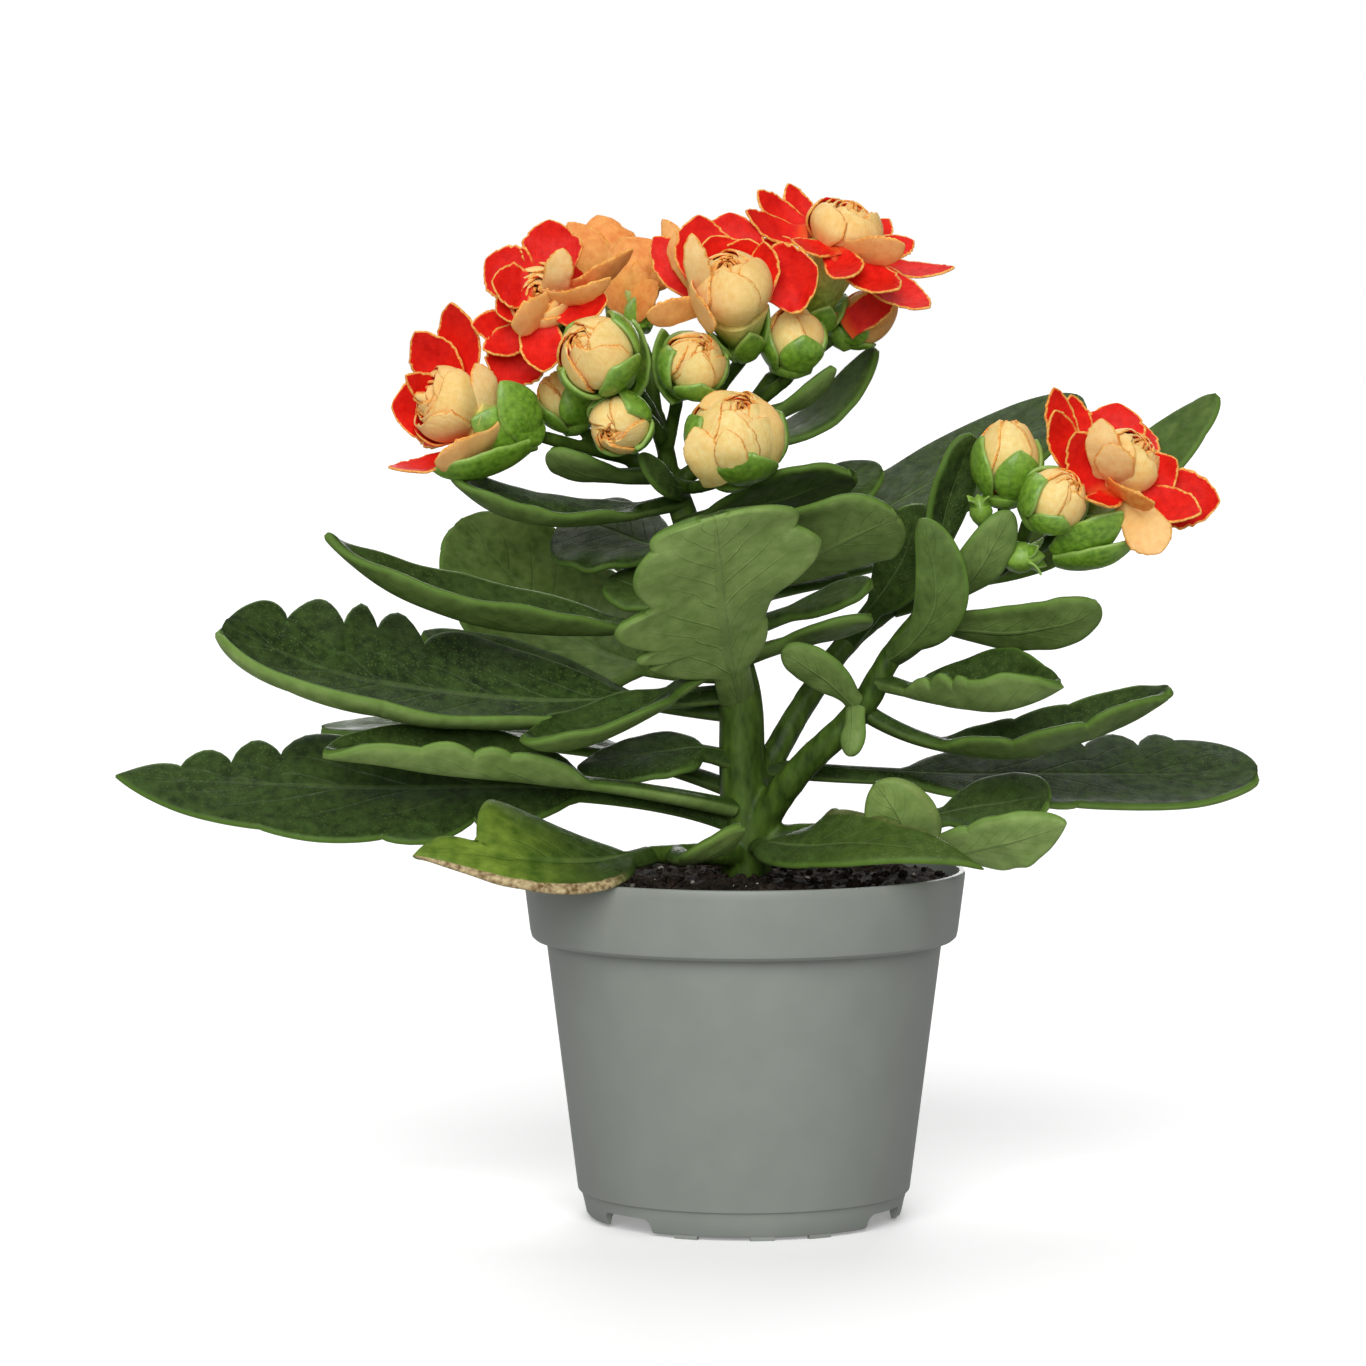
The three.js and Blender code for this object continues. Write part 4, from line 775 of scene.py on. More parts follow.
# Flower stalks: thin round green stalks that fork from the top of the stem and of the right branch, each
# up to the foot of one flower or bud.
HEAD_STALK_RADIUS = 1.25
FLOWER_STALK_RADIUS = 0.9
GREEN_BUD_STALK_RADIUS = 0.75
HEAD_STALKS = {
    "main": [[(-9.6, 0, 98.5), (-10.6, -0.5, 104), (-12, -0.5, 109)],
             [(-9.7, 0, 99.5), (-5.5, -0.5, 102.5), (-1, 0.5, 107.5), (4, 0.5, 114)],
             [(-9.8, 0, 100.5), (-12.5, 0, 102), (-15.5, 0, 103)]],
    "side": [[(26.5, -6, 85.5), (32, -7, 87.5), (36, -7.5, 90)]],
}
BLOOMS = {
    "far_left": dict(
        head="main", centre=(-40.5, -11, 110.6), facing=(-0.9, -0.3, 0.3),
        stalk=((-15, 0, 103), (-21, -3.5, 104.5)), tube=7.5, heart=(5, 10.5), mouth=0.74,
        petals=[
            ((-38.8, -7.1, 111.3), (-44.1, -8, 120.2), 3.7, (-0.5, -0.8, 0.1), 0.5),
            ((-38.1, -7.2, 112.1), (-39.2, -9, 124.1), 3.2, (-0.4, -0.9, 0.1), 0.5),
            ((-39.2, -6.6, 109.7), (-47.2, -9, 110.2), 5, (-0.6, -0.75, 0.2), 0.5),
            ((-39.8, -9.1, 111), (-45.1, -13, 114.4), 2.1, (-0.6, -0.7, 0.4), 0.5),
            ((-36.9, -11.7, 105.3), (-47.3, -15, 102.3), 3, (-0.1, -0.3, 0.95), 0.6),
            ((-32.8, -11.8, 106.6), (-41.1, -17, 103), 3, (0, 0.75, 0.65), 0.45),
            ((-34, -10.2, 107.8), (-35.9, -12.5, 116), 2.3, (-0.5, 0.75, -0.3), 0),
            ((-37, -5.3, 110.2), (-41.4, 3, 118.7), 4, (-0.8, 0.2, 0.5), 0.5),
            ((-37, -5.1, 108.4), (-44.2, 5, 106.8), 4, (-0.8, 0.3, 0.3), 0.5),
        ],
        sepals=[
            ((-28.5, -9, 106), (-32.6, -13, 113.6), 3.4, (-0.5, 0.85, 0)),
            ((-28.8, -11, 105), (-41.5, -15, 102), 3, (0, 0.6, 0.8)),
            ((-28.3, -8.5, 106.2), (-36.5, -13.2, 108.5), 3.4, (-0.2, 0.95, 0.1)),
        ]),
    "left": dict(
        head="main", centre=(-27.3, -9.5, 125), facing=(-0.2, -0.9, 0.3), stalk=((-12, -0.5, 109), (-18, 0, 115)),
        tube=7, heart=(4.2, 6), mouth=0.76,
        petals=[
            ((-25.6, -7, 126.8), (-26.2, -5, 135.2), 4.2, (0, -0.95, 0.3), 0.5),
            ((-28.3, -7, 126.3), (-34.7, -6, 129.9), 4.1, (-0.3, -0.9, 0.3), 0.5),
            ((-28.2, -9.7, 125.8), (-33.7, -12, 126.8), 3.2, (-0.5, -0.8, 0.3), 0.5),
            ((-28.2, -9, 125), (-33.1, -11, 122.7), 3.1, (-0.3, -0.9, 0), 0.5),
            ((-25.4, -10, 125.4), (-24.1, -14.5, 131.2), 1.9, (0, 0.95, 0.2), 0),
            ((-24.2, -8.9, 125.9), (-14.9, -12, 131.2), 2.1, (0.1, 0.35, 0.9), 0.8),
            ((-25.8, -10.3, 124.6), (-17.8, -16, 127.3), 1.6, (0, 0.6, 0.8), 0.6),
            ((-26, -10.4, 124.2), (-31, -15, 121), 2.7, (-0.2, 0.8, 0.5), 0.5),
            ((-25.9, -10.4, 123.6), (-18.2, -14, 124.3), 3.5, (0.1, -0.85, 0.4), 0.5),
            ((-28.6, -7.9, 121), (-36.5, -10, 121.1), 2.5, (-0.2, -0.9, 0.3), 0.5),
            ((-28, -8.3, 120.9), (-34.9, -11, 117.8), 2.3, (-0.2, -0.9, 0.3), 0.5),
            ((-28, -7.5, 120.6), (-33, -10, 112.9), 4.3, (-0.1, -0.95, -0.1), 0.5),
            ((-27.3, -10.2, 122.7), (-26.7, -15, 114.8), 3.1, (0.1, -0.95, 0), 0.5),
            ((-24.5, -4.4, 126.2), (-20.5, 2, 126.2), 4, (0.5, -0.6, 0.3), 0.5),
            ((-26.7, -4.5, 127.1), (-29, 2, 131.5), 3.7, (-0.2, -0.7, 0.5), 0.5),
        ]),
    "rear": dict(
        head="main", centre=(-16.9, 10, 130.5), facing=(-0.2, 0.3, 0.93), stalk=((-12, -0.5, 109), (-13, 1, 116)),
        tube=6, heart=(3.8, 7), sepal=4.5,
        petals=[
            ((-17, 6, 125.7), (-20.1, 9, 136.1), 4.7, (-0.2, 0.9, 0.4), 0.85),
            ((-16.4, 5.8, 126), (-12.4, 7, 132.7), 5.2, (0.3, 0.85, 0.4), 0.85),
            ((-15.9, 5.8, 125.9), (-11.5, 6, 127), 3.7, (0.4, 0.8, 0.3), 0.85),
            ((-17.9, 7, 126.2), (-24, 7, 135.1), 3, (-0.3, 0.9, 0.2), 0.85),
            ((-17.3, 9, 126.3), (-20.2, 19, 131.9), 4.5, (-0.1, 0.1, 1), 0.85),
            ((-16.3, 9, 126.3), (-13.6, 19, 131.1), 4.5, (0.3, 0.1, 1), 0.85),
            ((-15.6, 7, 126.8), (-12.6, 3.2, 122.8), 3.6, (0.1, 0.9, 0.4), 0.9),
            ((-16.6, 6.6, 127), (-18.4, 2.6, 123.4), 3, (-0.2, 0.9, 0.3), 0.8),
        ]),
    "middle": dict(
        head="main", centre=(-1.9, -12, 126.3), facing=(-0.15, -0.6, 0.78),
        stalk=((-5.5, -0.5, 102.5), (-4, 0.5, 111)), tube=5, heart=(5.2, 10), mouth=0.92,
        petals=[
            ((-4.8, -8.4, 125.3), (-6.3, -6, 135.8), 4.1, (0.1, -0.9, 0.3), 0.5),
            ((-1.8, -7.2, 126.7), (-2, -3, 136.2), 5, (0, -0.9, 0.4), 0.5),
            ((1.9, -9, 126), (9.6, -11, 128.7), 5.1, (0.3, -0.9, 0.2), 0.5),
            ((0.1, -6.6, 126.2), (6.1, -2, 132.8), 3.2, (0.2, -0.9, 0.3), 0.5),
            ((-5, -12.1, 124), (-7.2, -17, 133.1), 1.7, (0.2, 0.9, 0.1), 0.05),
            ((-5.2, -11.6, 124), (-13.2, -16.5, 122.4), 2.2, (0.3, 0.8, 0.45), 0.7),
            ((-7.2, -13.8, 125.2), (-3.9, -19.6, 121), 2.4, (0.25, 0.75, 0.6), 0.35),
            ((-1.9, -8.2, 126.9), (-4.7, -9, 132.8), 4, (0.1, -0.9, 0.3), 0.5),
            ((-0.6, -8.2, 127), (0.6, -9, 132.5), 3.7, (-0.1, -0.9, 0.3), 0.5),
            ((1.6, -11, 124.4), (2.5, -11, 132.1), 2.5, (-0.5, -0.8, 0.2), 0.5),
            ((-4.4, -6.2, 124.3), (-12.3, 0, 133), 3.2, (0, -0.9, 0.2), 0.5),
            ((-3.8, -5.6, 124.2), (-11.1, 3, 135.4), 2.3, (0, 0.9, 0.3), 0.6),
            ((-1.8, -5.7, 125.6), (-3.8, 5, 131.6), 4.5, (0, 0.2, 0.9), 0.5),
        ]),
    "right": dict(
        head="main", centre=(13.6, -2, 134.7), facing=(0.3, -0.25, 0.92), stalk=((4, 0.5, 114), (7, 1, 117)),
        tube=9.5, heart=(4.9, 8.5), mouth=0.82, sepal=5,
        petals=[
            ((8.5, -1, 133), (0.1, -4, 136.4), 2.5, (0.1, -0.7, 0.7), 0.5),
            ((9.2, 0.9, 133.3), (1.8, 1, 139.3), 2.3, (0.3, -0.85, 0.45), 0.5),
            ((10.1, 1.9, 133.3), (5.9, 4, 140.3), 2, (0.3, -0.9, 0.3), 0.5),
            ((12, -5.2, 131.7), (6.2, -9, 132.2), 2.3, (0, -0.6, 0.8), 0.5),
            ((11.7, -5.2, 131.6), (14.2, -13, 127.5), 2.6, (-0.2, -0.7, 0.7), 0.5),
            ((12.4, -5.3, 131.6), (20.3, -13, 125.8), 3.1, (0, -0.65, 0.75), 0.5),
            ((15.2, -4.3, 130.7), (24.5, -11, 123.4), 3.2, (0.2, -0.75, 0.65), 0.5),
            ((16.5, -2.2, 130.7), (28.1, -5, 128.8), 2.2, (0.1, -0.5, 0.85), 0.5),
            ((16.3, 0.6, 131.8), (23.1, 4, 132.5), 2.3, (-0.1, -0.75, 0.6), 0.5),
            ((15.3, 2.1, 132.1), (19.8, 7, 135.6), 2.1, (-0.1, -0.8, 0.5), 0.5),
            ((13.7, -5.1, 131), (21.2, -10, 131.8), 2.6, (0.1, 0.75, 0.6), 0.55),
            ((12.2, 3, 132.6), (9.2, 10, 134.4), 3.2, (-0.1, 0.3, 1), 0.5),
            ((13.8, 2.8, 132.5), (15.3, 13, 134.5), 3.2, (0, 0.3, 1), 0.5),
            ((13.4, 1.2, 120.9), (20.8, 0, 126), 2.3, (0.3, -0.85, 0.4), 0.5),
        ]),
    "side": dict(
        head="side", centre=(51.1, -12, 103.4), facing=(0.6, -0.4, 0.66), stalk=((36, -7.5, 90), (39.5, -7, 91.5)),
        tube=8, heart=(4.3, 8.5), mouth=0.86,
        petals=[
            ((44.9, -10.1, 101.9), (41, -11, 112.8), 2.3, (0.4, -0.9, 0.1), 0.5),
            ((44.8, -11.5, 100.9), (40.9, -14, 109.8), 2.5, (0.4, -0.9, 0.1), 0.5),
            ((46, -9.2, 103.3), (43.4, -9, 111.8), 2.3, (0.3, -0.9, 0.2), 0.5),
            ((49, -8.2, 103.7), (50, -5, 110.7), 4.2, (0, -0.9, 0.4), 0.5),
            ((47.4, -13.6, 98.8), (43.4, -18, 107), 3.2, (-0.1, -0.95, 0.2), 0.5),
            ((48, -14.1, 100.9), (46.8, -18, 108.8), 2.5, (0.3, 0.9, 0.2), 0),
            ((49.8, -13.9, 100), (47.9, -19, 105.6), 2.6, (0.2, 0.9, 0.3), 0.2),
            ((51.8, -11.9, 99.3), (57.2, -13, 103.3), 3, (0.2, -0.9, 0.3), 0.5),
            ((51.3, -12.6, 99.3), (60, -18, 96.3), 3, (0.2, -0.85, 0.4), 0.5),
            ((51.8, -11.2, 98.8), (63, -13, 97.7), 4.3, (0.1, -0.9, 0.2), 0.5),
            ((50.2, -13.5, 98.6), (54.6, -18.5, 91), 3.1, (-0.3, 0.8, 0.5), 0.3),
            ((48.9, -13.8, 98.9), (45.5, -20, 97.9), 2.3, (0, -0.6, 0.8), 0.5),
            ((48.3, -14.1, 100), (53.7, -20, 97.7), 2, (0.1, 0.7, 0.7), 1),
            ((50.4, -7.4, 102.3), (53.7, 2, 108), 4, (0.2, 0.2, 0.9), 0.5),
            ((51, -7.4, 101.5), (57.3, 4, 102.5), 4, (0.5, 0.2, 0.8), 0.5),
        ],
        sepals=[
            ((41.4, -11, 90.7), (49.9, -16, 96.5), 3.2, (0, 0.8, 0.6)),
            ((41.4, -11, 89.7), (52, -14, 92.8), 2.6, (0, 0.5, 0.8)),
        ]),
}
BUDS = {
    "left_large": dict(
        head="main", centre=(-19.8, -16.5, 117.3), facing=(-0.5, -0.75, 0.4),
        stalk=((-11.5, -0.5, 107), (-13.5, -6, 111)), radius=4.8, length=10.5,
        loose_sepals=[
            ((-15.2, -9.5, 111.5), (-15, -12, 121.8), 2.7, (-0.6, -0.7, 0.2)),
        ]),
    "middle_upper": dict(
        head="main", centre=(-6.8, -12, 116), facing=(0.35, -0.75, 0.55),
        stalk=((-10.6, -0.5, 104), (-9.5, -4, 109)), radius=3.8, length=8.6,
        loose_sepals=[
            ((-8.8, -7.5, 110.8), (-11, -10, 120.6), 2.5, (0.5, -0.8, 0.2)),
        ]),
    "left_lower": dict(
        head="main", centre=(-16.8, -15, 107.8), facing=(-0.4, -0.8, -0.3),
        stalk=((-10.6, -0.5, 104), (-12.5, -6, 108)), radius=3.5, length=7.5),
    "middle_low": dict(
        head="main", centre=(-1.3, -16, 106.7), facing=(0.15, -0.6, 0.75),
        stalk=((-9.6, -0.5, 99.5), (-6, -6, 99.5)), radius=5.8, length=12,
        petals=[
            ((0.5, -16, 110.2), (-6.2, -18, 110.3), 1.7, (0.1, 0.8, -0.5), 0.3),
            ((3.3, -17, 102.7), (1.5, -18, 111.4), 2, (-0.6, 0.7, 0), 0.35),
            ((-3.7, -18, 100.1), (-6.7, -20, 107.7), 2.6, (0.25, 0.9, 0.2), 0.1),
            ((-0.9, -19, 100.9), (-2.7, -22, 107.4), 2.2, (0.1, 0.95, 0.2), 0.05),
        ]),
    "right_upright": dict(
        head="main", centre=(6.4, -4, 119.5), facing=(0.05, -0.25, 0.95),
        stalk=((1.4, 0.5, 110.5), (4, -1.5, 112.5)), radius=3.7, length=8.5),
    "left_rear": dict(
        head="main", centre=(-24.4, -4, 111.3), facing=(-0.5, -0.1, 0.8), stalk=((-15, 0, 103), (-19, -1, 104.5)),
        radius=3.2, length=8),
    "right_red": dict(
        head="main", centre=(16.6, 6, 122.4), facing=(0.75, 0.2, 0.5), stalk=((4, 0.5, 114), (8, 3, 116.5)),
        radius=3.2, length=9.5, red=True, sepals=(0.45, 0.4, 0.45, 0.4)),
    "side_upper": dict(
        head="side", centre=(34.9, -9, 103.4), facing=(0.05, -0.15, 1), stalk=((36, -7.5, 90), (35, -7.8, 93.5)),
        radius=3.9, length=11),
    "side_lower": dict(
        head="side", centre=(41.1, -15, 98.2), facing=(0.6, -0.6, 0.5), stalk=((36, -7.5, 90), (37, -9.5, 92.5)),
        radius=3.7, length=8.5),
}
GREEN_BUDS = {
    "lowest": dict(
        head="side", centre=(37.9, -12, 90.3), facing=(0.95, -0.25, 0.05),
        stalk=((36, -7.5, 90), (35.3, -9.5, 89.9)), radius=2.1, length=5.5),
    "smallest": dict(
        head="side", centre=(31.2, -10, 97.4), facing=(-0.2, -0.2, 1), stalk=((32, -7, 87.5), (31.8, -8.5, 91.5)),
        radius=1.5, length=4),
}


def foot_of(flower):
    """The foot of a flower's calyx, from the centre of its closed middle and the way that it faces."""
    if "tube" in flower:
        reach = flower["tube"] + 1.6 + flower["heart"][1] / 2
    else:
        reach = 0.8 + flower["length"] / 2
    return Vector(flower["centre"]) - Vector(flower["facing"]).normalized() * reach


def in_place(piece, flower):
    """Turns a piece that is made along +Z to its flower's foot and facing."""
    turn = Vector((0, 0, 1)).rotation_difference(Vector(flower["facing"])).to_matrix().to_4x4()
    piece.data.transform(Matrix.Translation(foot_of(flower) * MM) @ turn)
    return piece


for head, routes in HEAD_STALKS.items():
    stalks = [stalk(route, [HEAD_STALK_RADIUS] * len(route)) for route in routes]
    for flower in (*BLOOMS.values(), *BUDS.values(), *GREEN_BUDS.values()):
        if flower["head"] == head:
            thin = GREEN_BUD_STALK_RADIUS if flower in GREEN_BUDS.values() else FLOWER_STALK_RADIUS
            facing = Vector(flower["facing"]).normalized()
            stalks.append(stalk([*flower["stalk"], foot_of(flower), foot_of(flower) + facing],
                                [thin * 1.15, thin, thin, thin * 1.2]))
    piece = grown_together(head + "_flower_stalks", stalks, 0.24, 0.05)
    finish_piece(piece, "calyx_green", stem_green, head + "_head_stalks")

# Calyces: four pointed fleshy green sepals joined in a cup under each flower. Over it an open flower has a
# pale funnel with four soft corners, and a closed bud is held by sepals that lie against it.
WRAP_FULLNESS = 0.6
CALYX_PROFILE = [(0.3, -0.6), (1.0, -0.3), (1.9, 0.4), (2.2, 1.3), (1.6, 1.6), (0.4, 1.7)]
CUP_SIDES = 28
FUNNEL_SIDES = 32
FIRST_SEPAL = 20
SEPAL_HALF_WIDTH = 2.3
SEPAL_THICKNESS = 1.0
FAR_FROM_EDGE = 5.0
BUD_SEAT = 0.8


def leaning(foot, length, lean, bend):
    """A path in two straight halves from its foot: leans out by lean, then bends further to its tip."""
    path = [foot]
    for angle in (math.radians(lean), math.radians(lean + bend)):
        out, height = path[-1]
        path.append((out + length / 2 * math.sin(angle), height + length / 2 * math.cos(angle)))
    return path


def ragged(share, is_left, grain, seed, fringe):
    """How much a fringed petal's width varies along each edge, with none of it near the root."""
    lace = [noise.noise(Vector((s * grain, 5.0 if left else 0.0, seed))) for s, left in zip(share, is_left)]
    return 1 + fringe * np.array(lace) * np.clip(share * 3 - 1, 0, 1)


def petal_outline(half, widest, tip, claw, fringe, seed):
    """The width of each half of a petal: a claw that widens into the blade."""
    def width(share, is_left):
        wide = half * body_width(share, widest, tip)
        if fringe:
            wide = wide * ragged(share, is_left, 26, seed, fringe)
        return (wide**3 + (claw * np.clip(1 - share * 1.02, 0, 1)) ** 3) ** (1 / 3)

    return width


def petal_shares(rings):
    """Rows from root to tip, closer together at both ends."""
    return 0.5 - 0.5 * np.cos(np.pi * np.linspace(0, 1, rings + 1)[1:-1])


def open_petal(name, angle, path, half, cup, thick, widest, tip, claw, detail, ripple=0.0, sway=0.0):
    """A petal or sepal that stands out from +Z at an angle, along a path of (distance out, height)."""
    turn = math.radians(angle)
    chance = random.Random(name)
    drift = [0, chance.uniform(-sway, sway), chance.uniform(-sway, sway) * 1.5]

    def standing(point, aside=0.0):
        out, height = point
        return (out * math.cos(turn) - aside * math.sin(turn), out * math.sin(turn) + aside * math.cos(turn), height)

    rise, run = path[-1][1] - path[0][1], path[-1][0] - path[0][0]
    seed = chance.uniform(0, 90)
    face = standing((-rise, run))
    width = petal_outline(half, widest, tip, claw, 0, seed)
    surface = bent_blade([standing(p, d) for p, d in zip(path, drift)], face, face, width,
                         curl=(cup + chance.uniform(-6, 6), cup + chance.uniform(-6, 6)), ripple=ripple, seed=seed)
    return thin_body(name, surface, lambda share: thick * (1 - 0.3 * share), petal_shares(detail), detail)


def placed_petal(name, root, end, half, face, thick, cup=30, fringe=0.16, ripple=0.7, claw=2.2, sag=0.13,
                 widest=0.56, tip=0.74):
    """A petal from its root to its tip, half wide at its widest, its inside facing one way."""
    chance = random.Random(name)
    seed = chance.uniform(0, 90)
    root, end, face = np.array(root), np.array(end), unit(np.array([face], float))[0]
    middle = (root + end) / 2 - face * np.linalg.norm(end - root) * sag
    width = petal_outline(half, widest, tip, claw, fringe, seed)
    surface = bent_blade([root, middle, end], face, face, width, curl=(cup + chance.uniform(-8, 8),) * 2,
                         ripple=ripple, seed=seed)
    return thin_body(name, surface, lambda share: thick * (1 - 0.3 * share), petal_shares(30), 24)


def wrapped_petal(name, radius, length, turn, spread, low, high, step, twist=0.0, thick=0.5, widest=0.62, tip=0.3,
                  fringe=0.0, rings=24, segments=24):
    """A petal that lies on an egg-shaped flower of a radius and length, its left edge a step above its right."""
    chance = random.Random(name)
    seed = chance.uniform(0, 90)

    def surface(across, share):
        up = low + (high - low) * share
        out = radius * np.sin(np.pi * np.clip(up, 0.001, 0.999)) ** WRAP_FULLNESS
        wide = body_width(np.clip(share, 0, 1), widest, tip)
        if fringe:
            wide = wide * ragged(share, across > 0, 24, seed, fringe)
        angle = math.radians(turn) + math.radians(spread) * wide * across + math.radians(twist) * share
        swell = np.array([noise.noise(Vector((a * 0.9, s * 2.2, seed + 7))) for a, s in zip(across, share)])
        out = out + step * across + 0.35 * swell
        points = np.column_stack((out * np.cos(angle), out * np.sin(angle), up * length))
        return points, math.radians(spread) * wide * np.maximum(out, 0.4)

    return thin_body(name, surface, lambda share: thick * (1 - 0.25 * share), petal_shares(rings), segments)


def marked_turned(name, profile, sides, corners, depth):
    """A turned piece with soft corners round it, marked with its height from 0 to 1 for its material."""
    piece = turned(name, profile, sides)
    low, high = profile[0][1] * MM, profile[-1][1] * MM
    marks = []
    for vertex in piece.data.vertices:
        bulge = 1 + depth * math.cos(corners * math.atan2(vertex.co.y, vertex.co.x))
        vertex.co.x *= bulge
        vertex.co.y *= bulge
        marks += [0, (vertex.co.z - low) / (high - low), -1]
    mark(piece, "across_along_side", "FLOAT_VECTOR", marks)
    mark(piece, "edge_distance", "FLOAT", [FAR_FROM_EDGE] * len(piece.data.vertices))
    smooth(piece, 60)
    return piece


def soft_skin(colour, least_rough, most_rough):
    """The colour, uneven gloss and pores of a calyx or a funnel."""
    soft = add_node(tree, "TexNoise", {"Vector": spot, "Scale": 700.0, "Detail": 3.0}).outputs["Fac"]
    feed(tree, shader, Base_Color=colour, Roughness=ramp(soft, 0.3, 0.7, least_rough, most_rough),
         Normal=pored(tree, spot, 2200.0, 0.3, 0.0001))


calyx_skin, tree, shader, spot = start_material("smooth calyx skin")
across, along, _ = marks_of(tree, "across_along_side")
colour = blend(ramp(along, 0.5, 1.0, 0.0, 0.35), mottled(tree, spot, (78, 122, 22), (138, 184, 56), 330.0, 1.4),
               paint(134, 172, 80))
colour = blend(ramp(edge_of(tree), 0.45, 0.05, 0.0, 0.6), colour, paint(156, 184, 98))
streak = maths("PINGPONG", maths("MULTIPLY", across, 2.5), 0.5)
soft_skin(blend(ramp(streak, 0.0, 0.12, 0.25, 0.0), colour, paint(150, 178, 92)), 0.3, 0.46)

funnel_skin, tree, shader, spot = start_material("pale flower funnel")
along = marks_of(tree, "across_along_side")[1]
soft_skin(blend(ramp(along, 0.3, 1.0), mottled(tree, spot, (96, 126, 36), (156, 180, 72), 400.0, 1.4),
                mottled(tree, spot, (200, 194, 100), (236, 222, 136), 400.0, 1.4)), 0.38, 0.52)

for head in ("main", "side"):
    sepals, funnels, cups = [], [], []
    for name, bloom in BLOOMS.items():
        if bloom["head"] == head:
            tube, wide = bloom["tube"], bloom["heart"][0]
            funnels.append(in_place(marked_turned(
                "funnel_" + name,
                [(0.4, 0.4), (1.3, 0.6), (1.6, 1.5), (2.2, tube * 0.5), (2.9, tube * 0.8), (wide * 0.72, tube + 1.2),
                 (wide * 0.8, tube + 2.2), (wide * 0.6, tube + 2.8), (0.5, tube + 3)], FUNNEL_SIDES, 4, 0.06), bloom))
            cups.append(in_place(marked_turned(
                "calyx_cup_" + name, CALYX_PROFILE, CUP_SIDES, 4, 0.08), bloom))
            for i in range(4):
                path = leaning((1.5, 0.2), bloom.get("sepal", 7.0), 30, -10)
                sepals.append(in_place(open_petal(
                    f"sepal_{name}_{i}", FIRST_SEPAL + 90 * i, path, SEPAL_HALF_WIDTH, 42, SEPAL_THICKNESS,
                    widest=0.4, tip=0.85, claw=1.5, detail=20, ripple=0.4), bloom))
            for i, (root, tip, half, face) in enumerate(bloom.get("sepals", ())):
                sepals.append(placed_petal(f"long_sepal_{name}_{i}", root, tip, half, face, SEPAL_THICKNESS, cup=40,
                                           fringe=0, claw=1.6, widest=0.42, tip=0.75))
    for name, bud in BUDS.items():
        if bud["head"] == head:
            radius, length = bud["radius"], bud["length"]
            cups.append(in_place(marked_turned(
                "bud_cup_" + name, [(0.3, -0.7), (radius * 0.35, -0.5), (radius * 0.72, 0.2), (radius * 0.78, 1),
                                    (radius * 0.6, 1.4), (0.4, 1.5)], CUP_SIDES, 4, 0.06), bud))
            for i in range(4):
                reach = bud.get("sepals", (0.74, 0.66, 0.78, 0.68))[i]
                piece = wrapped_petal(f"bud_sepal_{name}_{i}", radius * 1.08 + 0.5, length + 0.8,
                                      FIRST_SEPAL + 90 * i, 46, 0.03, reach, 0.2, thick=SEPAL_THICKNESS, widest=0.42,
                                      tip=0.75, rings=20, segments=20)
                sepals.append(in_place(piece, bud))
            for i, (root, tip, half, face) in enumerate(bud.get("loose_sepals", ())):
                sepals.append(placed_petal(f"loose_sepal_{name}_{i}", root, tip, half, face, SEPAL_THICKNESS, cup=45,
                                           fringe=0, claw=1.4, widest=0.45, tip=0.7))
    for name, bud in GREEN_BUDS.items():
        if bud["head"] == head:
            radius, length = bud["radius"], bud["length"]
            profile = [(0.2, -0.5), (radius * 0.45, -0.3), (radius * 0.8, length * 0.12), (radius, length * 0.35),
                       (radius * 0.92, length * 0.55), (radius * 0.6, length * 0.78), (0.15, length)]
            cups.append(in_place(marked_turned("green_bud_" + name, profile, CUP_SIDES, 4, 0.06), bud))
            for i in range(4):
                path = leaning((radius * 0.62, length * 0.45), length * 0.62, 8, 45)
                sepals.append(in_place(open_petal(
                    f"green_bud_sepal_{name}_{i}", 45 + 90 * i, path, radius * 0.5, 30, 0.5, widest=0.35, tip=0.9,
                    claw=0.5, detail=14), bud))
    for name, parts, skin in (("_sepals", sepals, calyx_skin), ("_calyx_cups", cups, calyx_skin),
                              ("_funnels", funnels, funnel_skin)):
        finish_piece(as_one(head + name, parts), "calyx_green", skin, head + "_head_stalks")

# Open petals: soft double-flower petals, red inside and peach outside, with a ragged golden rim. They
# grow in rings from the mouth of the funnel, cupped and turned a little differently each.
PETAL_THICKNESS = 0.55


